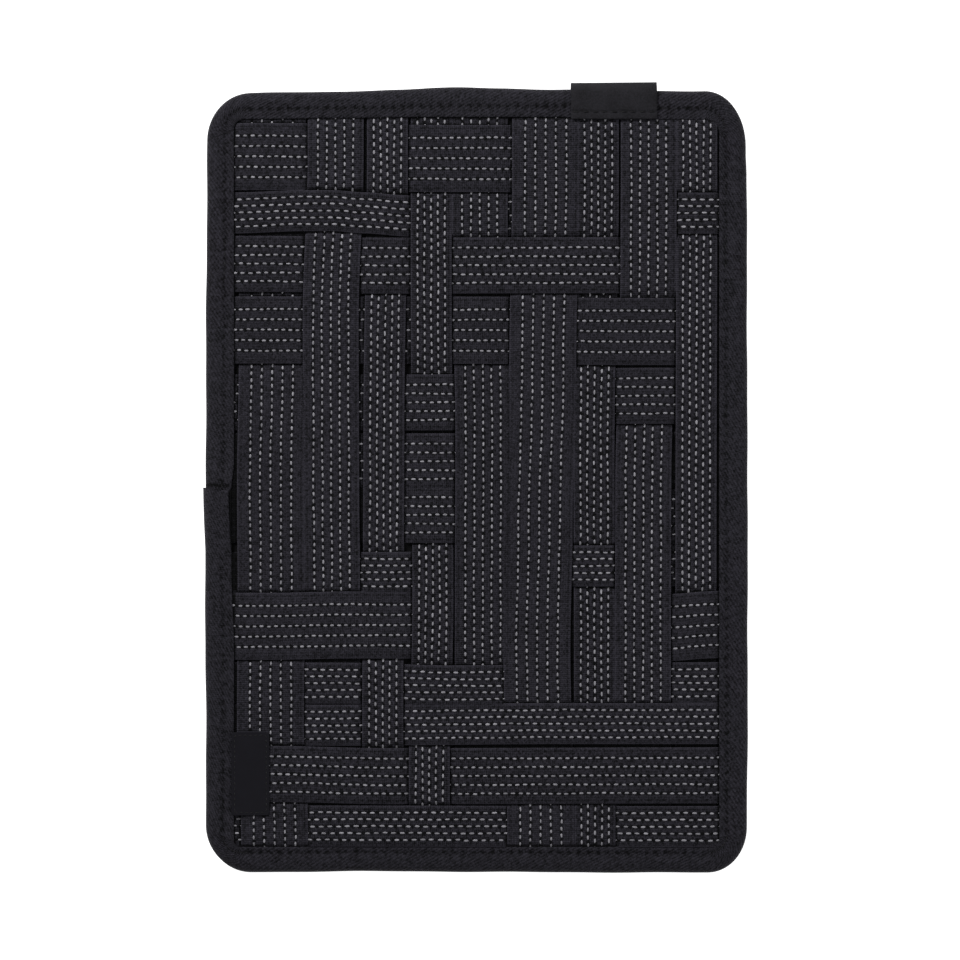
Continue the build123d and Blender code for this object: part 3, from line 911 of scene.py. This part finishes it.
def make_overlap(outer, inner, along, twill):
    """The tape's outer end: folded, a little crooked, and thinning into the tape below it."""
    x, y = outer.T
    left = (x < -90) & (y < OVERLAP_TOP) & (y > OVERLAP_BOTTOM)
    outer, inner, along = outer[left], inner[left].copy(), along[left]
    down = (OVERLAP_TOP - outer[:, 1]) / (OVERLAP_TOP - OVERLAP_BOTTOM)
    inner[:, 0] = INNER_LEFT - 1.95 + 0.9 * smooth_step(down)
    points = binding_surface(outer, inner, along, 0.9 - 0.98 * smooth_step(down))
    folded = np.clip(1 - down * 22, 0, 1)[:, None]
    points[:, :, 1] -= (1 - down)[:, None] * 0.5 * SHARES
    points[:, :, 2] += 0.25 * folded * np.sign(LEVELS)
    columns = len(SECTION)
    faces = grid_faces(len(along), columns, close_columns=True).tolist()
    for start, flip in ((0, True), ((len(along) - 1) * columns, False)):
        for step in range(columns // 2 - 1):
            cap = [start + step, start + step + 1, start + columns - 2 - step, start + columns - 1 - step]
            faces.append(cap if flip else cap[::-1])
    # A painted highlight along the folded top edge, where folded is near 1.
    tape = Shape(points, faces, **tape_attributes(along, np.broadcast_to(-0.45 * folded, points.shape[:2])))
    tape.build("binding_overlap_tape", twill, "binding_tape", "binding_overlap")


# ---------------------------------------------------------------- stitches


def stitch_run(shape, centres, directions, length, seeds):
    """Short stitches: a thread that comes up, runs straight and dives again."""
    share = np.linspace(-1, 1, 7)
    for centre, direction, seed in zip(centres, directions, seeds):
        path = centre[None, :] + direction[None, :] * share[:, None] * length / 2
        path = path + np.array([0, 0, 1.0]) * (-0.30 * share[:, None] ** 4) * np.sign(seed)
        points, faces = tube(path, THREAD_RADIUS * (1 - 0.25 * share**6))
        cloth = triple(share[:, None] * length / 2, np.arange(6)[None, :], abs(seed))
        shape.add(points, faces, cloth=cloth)


def along_line(line, distances, reach, height):
    """Places at distances along a flat line, and the line's direction at each."""
    lengths = distance_along(line)

    def at(places):
        return np.stack([np.interp(places, lengths, values) for values in line.T] + [0 * places], axis=1)

    return at(distances) + [0, 0, height], unit(at(distances + reach) - at(distances - reach))


def make_stitches(name, node, thread, centres, directions, length=STITCH_LENGTH, side=1):
    """One seam's stitches; side is -1 where they dive upwards, into a face that looks down."""
    shape = Shape()
    seeds = side * (0.2 + RANDOM.random(len(centres)))
    stitch_run(shape, centres, directions, length, seeds)
    shape.build(name, thread, "thread", node)


def make_edge_stitches(outer, inner, along, thread):
    """Lockstitch along the binding's inner edge, on the front and on the back."""
    line = outer + (inner - outer) * seam_share(unit(outer - inner))[:, None]
    distances = np.arange(STITCH_PITCH / 2, along[-1] + BINDING_STEP, STITCH_PITCH)
    x, y = (np.interp(distances, along, values) for values in line.T)
    direction = unit(np.stack([np.gradient(x), np.gradient(y), 0 * x], axis=1))
    keep = ~((y > INNER_TOP) & (x > TAB_LEFT - 1) & (x < TAB_RIGHT + 1))
    lapped = (x < INNER_LEFT) & (y < OVERLAP_TOP) & (y > OVERLAP_BOTTOM)
    lift = np.where(lapped, 1 - (OVERLAP_TOP - y) / (OVERLAP_TOP - OVERLAP_BOTTOM), 0)
    shape = Shape()
    for side in (1, -1):
        z = BINDING_MIDDLE + side * (BINDING_HALF * 0.955 + lift)
        centres = np.stack([x, y, z], axis=1)[keep]
        seeds = side * (0.1 + RANDOM.random(len(centres)))
        stitch_run(shape, centres, direction[keep], STITCH_LENGTH, seeds)
    shape.build("binding_stitches", thread, "thread", "binding_stitch")


# ---------------------------------------------------------------- tab and badge


def make_tab(ribbon, thread):
    """A folded ribbon that grips the top edge; its fold stands proud of the binding."""
    fold_y = node_box("top_tab")[1][1] - 0.35
    top = BINDING_HIGH[2] + 0.12
    under = BINDING_LOW[2] - 0.12
    inner_y = INNER_TOP - 0.6
    edge_y, middle = BINDING_HIGH[1], BINDING_MIDDLE
    profile = [
        (inner_y, top + 0.2), (inner_y + 2, top + 0.12), (inner_y + 5, top + 0.1),
        (edge_y - 2.4, top + 0.02), (edge_y - 0.6, top - 0.35), (edge_y + 0.7, top - 1.2),
        (fold_y - 0.35, middle + 0.9), (fold_y, middle), (fold_y - 0.35, middle - 0.9),
        (edge_y + 0.7, under + 1.2), (edge_y - 0.6, under + 0.35), (edge_y - 2.4, under - 0.02),
        (inner_y + 5, under - 0.1), (inner_y, under),
    ]
    profile = np.array(profile)
    lengths = distance_along(profile)
    fine = np.linspace(0, lengths[-1], 70)
    y, z = (np.interp(fine, lengths, values) for values in profile.T)
    kernel = np.ones(5) / 5
    y[2:-2], z[2:-2] = np.convolve(y, kernel, "valid"), np.convolve(z, kernel, "valid")
    normal_y, normal_z = unit(np.stack([-np.gradient(z), np.gradient(y)], axis=1)).T[:, :, None]
    x = np.linspace(TAB_LEFT, TAB_RIGHT, 34)
    share = (x - TAB_LEFT) / (TAB_RIGHT - TAB_LEFT)
    proud = np.clip((y - edge_y + 1) / 3, 0, 1)
    seam = 0.3 * np.exp(-(((y - inner_y - 2.5) / 0.55) ** 2)) * np.sign(z - middle)
    wrinkle = 0.07 * np.sin(x * 1.1) + 0.05 * np.sin(x * 2.3 + 1)
    wrinkle = wrinkle + 0.16 * np.exp(-(((x - TAB_LEFT - 3.4) / 0.7) ** 2))
    layers = []
    for offset in (0.0, TAB_THICKNESS):
        out = offset + wrinkle * (1 - proud)[:, None]
        slant = (0.3 * share - 0.25) * proud[:, None]
        out_y, out_z = y[:, None] + normal_y * out + slant, z[:, None] + normal_z * out - seam[:, None]
        layers.append(triple(x, out_y, out_z))
    outside = grid_faces(len(y), len(x))
    inside = outside[:, ::-1]
    block = len(y) * len(x)
    faces = inside.tolist() + (outside + block).tolist() + closing_walls(inside, block)
    cloth = np.stack([triple(x, fine[:, None], 0.5)] * 2)
    ribbon_shape = Shape(np.stack(layers), faces, cloth=cloth)
    ribbon_shape.build("top_tab_ribbon", ribbon, "tab_ribbon", "top_tab")
    stitch_x = np.arange(TAB_LEFT + 2, TAB_RIGHT - 1, STITCH_PITCH)
    centres = triple(stitch_x, inner_y + 2.6, top + TAB_THICKNESS + 0.08)
    directions = np.tile([1.0, 0, 0], (len(centres), 1))
    make_stitches("top_tab_stitches", "tab_stitch", thread, centres, directions)


def make_badge(rubber, thread):
    """A blank soft badge, sewn round its edge."""
    low, high = node_box("badge")
    outline = rounded_outline(low[0], high[0], low[1], high[1], 1.0)
    lip = rounded_outline(low[0] + 2.2, high[0] - 1.2, high[1] - 0.25, high[1] + 0.45, 0.3)
    patch = Shape(*plate([outline], low[2] - 0.1, high[2], 0.22), lip=0.0)
    # The raised lip is real relief; lip=1.0 makes the badge material paint a highlight on it.
    patch.add(*plate([lip], low[2], high[2] + 0.1, 0.2), lip=1.0)
    patch.build("badge_patch", rubber, "badge_rubber", "badge", sharp_angle=50)
    left, bottom = low[:2] + BADGE_SEAM_INSET
    right, top = high[:2] - BADGE_SEAM_INSET
    loop = rounded_outline(left, right, bottom, top, 0.8, 4)
    loop = np.array(loop + loop[:1])
    distances = np.arange(BADGE_STITCH_PITCH / 2, distance_along(loop)[-1], BADGE_STITCH_PITCH)
    centres, directions = along_line(loop, distances, 0.3, high[2] - 0.05)
    make_stitches("badge_stitches", "badge_stitch", thread, centres, directions, BADGE_STITCH_LENGTH)


# ---------------------------------------------------------------- layers and pocket


def layer(name, node, inset, shrink, edge, radius, material, slot, **build):
    """A flat layer a little smaller than its CAD node, with rounded corners and edges."""
    low, high = node_box(node)
    low += [inset, inset, shrink]
    high -= [inset, inset, shrink]
    points, faces = plate([rounded_outline(low[0], high[0], low[1], high[1], radius)], low[2], high[2], edge)
    sheet = Shape(points, faces, cloth=points[:, [1, 0, 2]])
    piece = sheet.build(name, material, slot, node, **build)
    return piece, tuple((high - low)[:2] * MM)


def make_layers(lining, board):
    """The stiff board, with a lining stretched over each of its faces and held in the binding."""
    corner = LAYER_CORNER - 2
    layer("core_board_sheet", "core_board", 0, 0, 0.3, corner, board, "stiffener_board", sharp_angle=50)
    for name, node in (("front_lining_cloth", "front_lining"), ("back_cover_cloth", "back_cover")):
        cloth, flat = layer(name, node, LINING_INSET, 0.05, 0.15, LAYER_CORNER, lining, "lining_fabric")


WINDOW_HALF_LENGTH, WINDOW_HALF_WIDTH, WINDOW_CENTRE = 72.0, 5.5, 100.0
WINDOW_CORNER = 1.5
FIELD_INSET, FIELD_CORNER, WALL_RUN, WALL_RISE = 22.0, 10.0, 12.0, 7.2
INNER_RUN_START, INNER_RUN = 3.0, 6.0
PANEL_THICKNESS, INNER_RISE = 3.7, 8.0
SEAM_FROM_WINDOW = 2.45


def rounded_distance(x, y, half_x, half_y, radius):
    """Distance outwards from a rounded rectangle round the origin, negative inside it."""
    side = np.abs(x) - half_x + radius
    end = np.abs(y) - half_y + radius
    outside = np.hypot(np.maximum(side, 0), np.maximum(end, 0))
    return outside + np.minimum(np.maximum(side, end), 0) - radius


def panel_lines(low, high, fixed):
    """Grid lines: evenly spaced, with closer ones round the fixed edges."""
    offsets = (-1.5, -1.0, -0.5, 0.0, 0.25, 0.6, 1.1, 1.6, 2.05, 2.45, 2.85, 3.4, 4.5)
    close = []
    for edge, outward in fixed:
        close += [edge + outward * offset for offset in offsets]
    even = [value for value in np.arange(low, high, 2.6) if min(abs(value - c) for c in close) > 1.0]
    return np.array(sorted({*np.round(close, 3), *np.round(even, 3), low, high}))


def make_pocket_panel(padding, thread):
    """A padded tray: soft sloping walls, and a zip window with a rounded rim and a sunk seam."""
    low, high = node_box("pocket_panel")
    low[:2] += PANEL_INSET
    high[:2] -= PANEL_INSET
    lines_x = panel_lines(low[0], high[0], [(-WINDOW_HALF_LENGTH, -1), (WINDOW_HALF_LENGTH, 1)])
    window_ends = [(WINDOW_CENTRE - WINDOW_HALF_WIDTH, -1), (WINDOW_CENTRE + WINDOW_HALF_WIDTH, 1)]
    lines_y = panel_lines(low[1], high[1], window_ends)
    x, y = (grid.copy() for grid in np.meshgrid(lines_x, lines_y, indexing="ij"))
    round_corners(x, y, 0, 0, high[0], high[1], LAYER_CORNER)
    round_corners(x, y, 0, WINDOW_CENTRE, WINDOW_HALF_LENGTH, WINDOW_HALF_WIDTH, WINDOW_CORNER)
    from_window = rounded_distance(x, y - WINDOW_CENTRE, WINDOW_HALF_LENGTH, WINDOW_HALF_WIDTH, WINDOW_CORNER)
    out = rounded_distance(x, y, *(BINDING_HIGH[:2] - FIELD_INSET), FIELD_CORNER)
    slope = smooth_ramp(out / WALL_RUN)
    soft = 0.35 * np.exp(-((out / 7) ** 2)) * (0.5 + 0.5 * np.sin(x / 9.0) * np.sin(y / 11.0))
    outer = WALL_RISE * slope + 0.25 * soft
    seam = 0.5 * np.exp(-(((from_window - SEAM_FROM_WINDOW) / 0.55) ** 2))
    rim = 1.25
    rim_share = np.clip(1 - from_window / rim, 0, 1)
    outer += seam + rim * (1 - np.sqrt(1 - rim_share**2))
    inner_slope = smooth_ramp((out - INNER_RUN_START) / INNER_RUN)
    inner = PANEL_THICKNESS + (INNER_RISE - PANEL_THICKNESS) * inner_slope
    inner -= 0.6 * (1 - np.sqrt(1 - np.clip(1 - from_window / 0.6, 0, 1) ** 2))
    outer, inner = np.minimum(outer, WALL_RISE), np.minimum(inner, INNER_RISE)
    rows, columns = x.shape
    block = rows * columns
    is_open = (np.abs(lines_x[:-1] + lines_x[1:]) / 2 < WINDOW_HALF_LENGTH)[:, None] & (
        np.abs((lines_y[:-1] + lines_y[1:]) / 2 - WINDOW_CENTRE) < WINDOW_HALF_WIDTH
    )[None, :]
    cells = grid_faces(rows, columns)[~is_open.reshape(-1)]
    faces = cells.tolist() + (cells[:, ::-1] + block).tolist()
    faces += closing_walls(cells, block)
    points = np.concatenate([triple(x, y, outer).reshape(-1, 3), triple(x, y, inner).reshape(-1, 3)])
    used = np.unique(faces)
    renumber = np.full(len(points), -1)
    renumber[used] = np.arange(len(used))
    points, faces = points[used], renumber[np.array(faces)].tolist()
    panel = Shape(points, faces, cloth=points[:, [1, 0, 2]])
    panel.build("pocket_panel_padding", padding, "padded_fabric", "pocket_panel")
    make_window_stitches(thread)


def smooth_ramp(share):
    """A ramp from 0 to 1 with soft ends."""
    share = np.clip(share, 0, 1)
    return 0.55 * share + 0.45 * smooth_step(share)


def round_corners(x, y, centre_x, centre_y, half_x, half_y, radius):
    """Pulls grid points that lie just past a rounded rectangle's corner arcs onto them."""
    side = np.abs(x - centre_x) - half_x
    end = np.abs(y - centre_y) - half_y
    near = (side > -radius) & (side < 0.01) & (end > -radius) & (end < 0.01)
    in_x, in_y = side + radius, end + radius
    reach = np.hypot(in_x, in_y)
    move = near & (reach > radius)
    scale = np.where(move, radius / np.maximum(reach, 1e-6), 1)
    x[move] = (centre_x + np.sign(x - centre_x) * (half_x - radius + in_x * scale))[move]
    y[move] = (centre_y + np.sign(y - centre_y) * (half_y - radius + in_y * scale))[move]


def closing_walls(cells, block):
    """Quads between two stacked grids wherever a cell's edge has no neighbour."""
    directed = set()
    for cell in cells.tolist():
        for start, end in zip(cell, cell[1:] + cell[:1]):
            directed.add((start, end))
    open_edges = [(start, end) for start, end in directed if (end, start) not in directed]
    return [[end, start, start + block, end + block] for start, end in open_edges]


def make_window_stitches(thread):
    half_x, half_y = WINDOW_HALF_LENGTH + SEAM_FROM_WINDOW, WINDOW_HALF_WIDTH + SEAM_FROM_WINDOW
    corner = WINDOW_CORNER + SEAM_FROM_WINDOW
    loop = rounded_outline(-half_x, half_x, WINDOW_CENTRE - half_y, WINDOW_CENTRE + half_y, corner)
    loop = np.array(loop + loop[:1])
    total = distance_along(loop)[-1]
    count = round(total / STITCH_PITCH)
    centres, directions = along_line(loop, (np.arange(count) + 0.5) * total / count, 0.4, 0.36)
    make_stitches("window_stitches", "window_stitch", thread, centres, directions, side=-1)


# ---------------------------------------------------------------- zip

COIL_PITCH = 1.25
COIL_WIRE = 0.27
COIL_TURN_POINTS = 14


def make_zip_tape(node, tape):
    """Woven tape with a corded edge beside the coil."""
    low, high = node_box(node)
    middle_z = (low[2] + high[2]) / 2
    beside_coil = low[1] if low[1] > WINDOW_CENTRE - 2 else high[1]
    away = 1 if beside_coil == low[1] else -1
    coil_side, far_side = [0, 0.12, 0.4, 0.8, 1.3, 2.0, 2.5], [11.6, 11.88, 12.0]
    across = np.concatenate([coil_side, np.arange(3.5, 11.4, 1.0), far_side])
    along = np.linspace(low[0], high[0], 78)
    half = np.interp(across, [0, 0.12, 0.4, 2.0, 2.5, 11.6, 12.0], [0.1, 0.19, 0.24, 0.24, 0.2, 0.2, 0.1])
    across, half = np.concatenate([across, across[::-1]]), np.concatenate([half, -half[::-1]])
    ripple = 0.025 * np.sin(along / 5.0)[:, None] * np.clip(across / 6 - 0.5, 0, 1)
    ring = triple(along[:, None], beside_coil + away * across, middle_z + half + ripple)
    columns = len(across)
    last = (len(along) - 1) * columns
    faces = grid_faces(len(along), columns, close_columns=True).tolist()
    faces += [list(range(columns)), list(range(last, last + columns))[::-1]]
    if away < 0:
        faces = [face[::-1] for face in faces]
    cloth = Shape(ring, faces, cloth=triple(along[:, None], across, 0.4))
    cloth.build(f"{node}_cloth", tape, "zip_tape", node)


def make_zip_coil(node, nylon):
    """One nylon coil: its heads reach past the middle, between the other coil's."""
    low, high = node_box(node)
    side = 1 if low[1] > WINDOW_CENTRE else -1
    head, heel = -0.38, max(abs(low[1] - WINDOW_CENTRE), abs(high[1] - WINDOW_CENTRE))
    middle_y = WINDOW_CENTRE + side * (head + heel) / 2
    reach_y = (heel - head) / 2 - COIL_WIRE
    middle_z = (low[2] + high[2]) / 2
    reach_z = (high[2] - low[2]) / 2 - COIL_WIRE
    turns = int((high[0] - low[0]) / COIL_PITCH) - 1
    turn = np.linspace(0, turns, turns * COIL_TURN_POINTS + 1)
    angle = turn * 2 * math.pi
    start = (low[0] + high[0]) / 2 - turns * COIL_PITCH / 2 + (side - 1) * COIL_PITCH / 4
    x = start + turn * COIL_PITCH
    y = middle_y - side * reach_y * np.cos(angle)
    z = middle_z + reach_z * np.sin(angle)
    coil = Shape(*tube(np.stack([x, y, z], axis=1), COIL_WIRE))
    coil.build(f"{node}_helix", nylon, "zip_coil", node)


def make_zip_stops(metal):
    """Two crimped clips at the closed end and one wide clip across both tapes at the other."""

    def clip(low, high):
        return plate([rounded_outline(low[0], high[0], low[1], high[1], 0.35, 5)], low[2], high[2], 0.28)

    low, high = node_box("top_stops")
    clips = Shape()
    for bottom, top in ((low[1], WINDOW_CENTRE - 0.45), (WINDOW_CENTRE + 0.45, high[1])):
        clips.add(*clip((low[0], bottom, low[2]), (high[0], top, high[2])))
    clips.build("top_stop_clips", metal, "stop_metal", "top_stops", sharp_angle=50)
    bar = Shape(*clip(*node_box("bottom_stop")))
    bar.build("bottom_stop_clip", metal, "stop_metal", "bottom_stop", sharp_angle=50)


def beside_chain(x, loop):
    """A loop drawn round the slider's pin, moved to its place on the chain's line."""
    return [(x + from_pin, WINDOW_CENTRE + from_line) for from_pin, from_line in loop]


def make_slider(enamel):
    """Face plate and inner plate joined by a divider, rims that guide the chain, and an arch."""
    low, high = node_box("slider_body")
    x = (low[0] + high[0]) / 2
    half_length, half_width = (high[0] - low[0]) / 2, (high[1] - low[1]) / 2
    shape = Shape()

    def outline(width, tail_width):
        half_tail = tail_width / 2
        half = width / 2
        corners = [
            (-half_length, -half_tail + 0.9), (-half_length + 0.3, -half_tail + 0.25),
            (-half_length + 0.9, -half_tail), (0.6, -half), (half_length - 1.1, -half),
            (half_length - 0.4, -half + 0.3), (half_length, -half + 1.0),
        ]
        mirrored = [(place_x, -place_y) for place_x, place_y in corners[::-1]]
        return beside_chain(x, corners + mirrored)

    shape.add(*plate([outline(2 * half_width, 5.9)], 1.8, 2.3, 0.2))
    shape.add(*plate([outline(6.0, 5.2)], 4.35, 4.85, 0.2))
    for side in (-1, 1):
        wall = [
            (-3.4, 2.95), (0.6, half_width), (3.2, half_width), (3.4, half_width - 0.6),
            (0.5, half_width - 0.8), (-3.4, 2.2),
        ]
        loop = beside_chain(x, [(px, side * py) for px, py in (wall[::-1] if side < 0 else wall)])
        shape.add(*plate([loop], 2.1, 3.55, 0.18))
    divider = rounded_outline(x + 1.8, x + 3.4, WINDOW_CENTRE - 0.28, WINDOW_CENTRE + 0.28, 0.2, 4)
    shape.add(*plate([divider], 2.1, 4.5, 0.1))
    arch = [(2.6, 2.0), (2.6, 1.0), (2.45, 0.6), (2.1, 0.36), (1.6, 0.3)]
    inside = [(2.0, 2.0), (2.0, 1.2), (1.85, 0.9), (1.5, 0.76)]
    arch = [(-px, pz) for px, pz in arch] + arch[::-1] + inside + [(-px, pz) for px, pz in inside[::-1]]
    points, faces = plate([[(x + px, pz) for px, pz in arch]], -0.8, 0.8, 0.14)
    shape.add(points[:, [0, 2, 1]] + [0, WINDOW_CENTRE, 0], [face[::-1] for face in faces])
    shape.build("zip_slider", enamel, "slider_metal", "slider_body", body="slider", sharp_angle=45)


def make_pull(enamel):
    """A flat pull with a long grip, a forked end and a pin that lies in the slider's arch."""
    x = sum(corner[0] for corner in node_box("slider_body")) / 2
    low, high = node_box("pull_tab")
    middle_z = (low[2] + high[2]) / 2
    tip = low[0] - x
    half = (high[1] - low[1]) / 2
    side = [
        (tip, -half + 1.6), (tip + 0.25, -half + 0.9), (tip + 0.7, -half + 0.35), (tip + 1.4, -half + 0.05),
        (tip + 2.4, -half), (-6.6, -half + 0.1), (-5.2, -half + 0.35), (-4.2, -1.95), (0.0, -1.95),
        (0.35, -1.85), (0.35, -1.15), (-2.6, -1.1), (-3.1, -0.9), (-3.3, -0.4),
    ]
    outer = side + [(px, -py) for px, py in side[::-1]]
    turns = np.linspace(0, 2 * math.pi, 20, endpoint=False)
    hole = [(tip + half + 1.1 * math.cos(turn), -1.1 * math.sin(turn)) for turn in turns]
    points, faces = plate([beside_chain(x, outer), beside_chain(x, hole)], -0.4, 0.4, 0.2)
    shape = Shape(points + [0, 0, middle_z], faces)
    pin = [(x, WINDOW_CENTRE + y, middle_z) for y in np.linspace(-1.6, 1.6, 5)]
    shape.add(*tube(pin, 0.35, sides=12))
    shape.build("zip_pull", enamel, "slider_metal", "pull_tab", body="pull", sharp_angle=45)


def make_zip(tape, nylon, metal, enamel):
    for node in ("zip_tape_upper", "zip_tape_lower"):
        make_zip_tape(node, tape)
    for node in ("zip_coil_upper", "zip_coil_lower"):
        make_zip_coil(node, nylon)
    make_zip_stops(metal)
    make_slider(enamel)
    make_pull(enamel)


# ---------------------------------------------------------------- studio

WORLD_STRENGTH = 0.3
KEY_POWER, FILL_POWER, UNDER_POWER = 16.0, 5.0, 4.0
FLOOR_GLOW = 0.8


def make_floor():
    """A white table that lights the pouch's underside through itself and is clear from below."""
    size, depth = 3.0, -0.0004
    corners = [(-size, -size, depth), (size, -size, depth), (size, size, depth), (-size, size, depth)]
    mesh = bpy.data.meshes.new("floor")
    mesh.from_pydata(corners, [], [(0, 1, 2, 3)])
    floor = bpy.data.objects.new("floor", mesh)
    bpy.context.scene.collection.objects.link(floor)
    g = Graph("floor_white", roughness=0.9, specular=0.5)
    g.shader.inputs["Base Color"].default_value = (0.86, 0.86, 0.865, 1)
    g.shader.inputs["Emission Color"].default_value = (1, 1, 1, 1)
    g.shader.inputs["Emission Strength"].default_value = FLOOR_GLOW
    nodes = g.tree.nodes
    facing = nodes.new("ShaderNodeNewGeometry").outputs["Backfacing"]
    shadow = nodes.new("ShaderNodeLightPath").outputs["Is Shadow Ray"]
    mix = nodes.new("ShaderNodeMixShader")
    clear = nodes.new("ShaderNodeBsdfTransparent")
    choices = (g.math("MAXIMUM", facing, shadow), g.shader.outputs[0], clear.outputs[0])
    for socket, value in zip(mix.inputs, choices):
        g.feed(socket, value)
    g.feed(nodes["Material Output"].inputs["Surface"], mix.outputs[0])
    mesh.materials.append(g.material)


def make_light(name, position, size, power):
    """A square softbox aimed at the pouch."""
    data = bpy.data.lights.new(name, "AREA")
    data.size = size
    data.energy = power
    light = bpy.data.objects.new(name, data)
    light.location = position
    aim = -light.location.normalized()
    light.rotation_euler = aim.to_track_quat("-Z", "Y").to_euler()
    bpy.context.scene.collection.objects.link(light)


def make_studio():
    scene = bpy.context.scene
    scene.view_settings.view_transform = "Standard"
    world = bpy.data.worlds.new("studio")
    world.use_nodes = True
    backdrop = world.node_tree.nodes["Background"]
    backdrop.inputs["Color"].default_value = (1.0, 1.0, 1.0, 1)
    backdrop.inputs["Strength"].default_value = WORLD_STRENGTH
    scene.world = world
    make_light("key", (-0.6, 0.9, 0.75), 0.5, KEY_POWER)
    make_light("fill", (0.9, -0.2, 0.7), 0.8, FILL_POWER)
    make_light("under", (-0.3, 0.5, -1.0), 0.7, UNDER_POWER)


def make_camera():
    """Looks straight down, with the pouch a little left of the picture's middle."""
    data = bpy.data.cameras.new("camera")
    data.lens = CAMERA_LENS
    data.sensor_width = SENSOR
    camera = bpy.data.objects.new("camera", data)
    straps_z = BINDING_HIGH[2] - 0.6
    camera.location = to_frame((CAMERA_SHIFT, 0.0, straps_z + SCENE_SCALE * CAMERA_LENS / SENSOR))
    bpy.context.scene.collection.objects.link(camera)
    bpy.context.scene.camera = camera


def main():
    thread = thread_material()
    make_straps(webbing_material(), dash_material())
    make_binding(twill_material("binding_twill"), thread)
    ribbon = plain_cloth_material(
        "tab_ribbon", (0.45, 0.5), (0.0045, 0.0044, 0.0052), (0.0250, 0.0240, 0.0290), 0.05)
    make_tab(ribbon, thread)
    make_badge(rubber_material(), thread)
    lining = plain_cloth_material(
        "lining_cloth", (0.4, 0.4), (0.0012, 0.0012, 0.0014), (0.0075, 0.0072, 0.0085), 0.05)
    board = hard_material(
        "stiffener_board", (0.02, 0.02, 0.021), (0.06, 0.058, 0.056), 0.8, 900.0, 0.02, specular=0.2)
    make_layers(lining, board)
    padding = plain_cloth_material(
        "pocket_fabric", (0.62, 0.62), (0.0035, 0.0034, 0.0042), (0.0225, 0.0215, 0.0260), 0.10)
    make_pocket_panel(padding, thread)
    tape = twill_material("zip_tape_weave", rib=0.8, slant=0.8)
    nylon = hard_material("zip_coil_nylon", (0.004, 0.004, 0.0045), (0.018, 0.018, 0.02), 0.42, 3.0, 0.01)
    metal = hard_material(
        "stop_metal", (0.05, 0.05, 0.053), (0.22, 0.22, 0.23), 0.38, 2.0, 0.01, metallic=0.9)
    enamel = hard_material(
        "slider_enamel", (0.006, 0.006, 0.007), (0.028, 0.028, 0.031), 0.34, 1.5, 0.008, coat=0.4)
    make_zip(tape, nylon, metal, enamel)
    make_floor()
    make_studio()
    make_camera()


main()
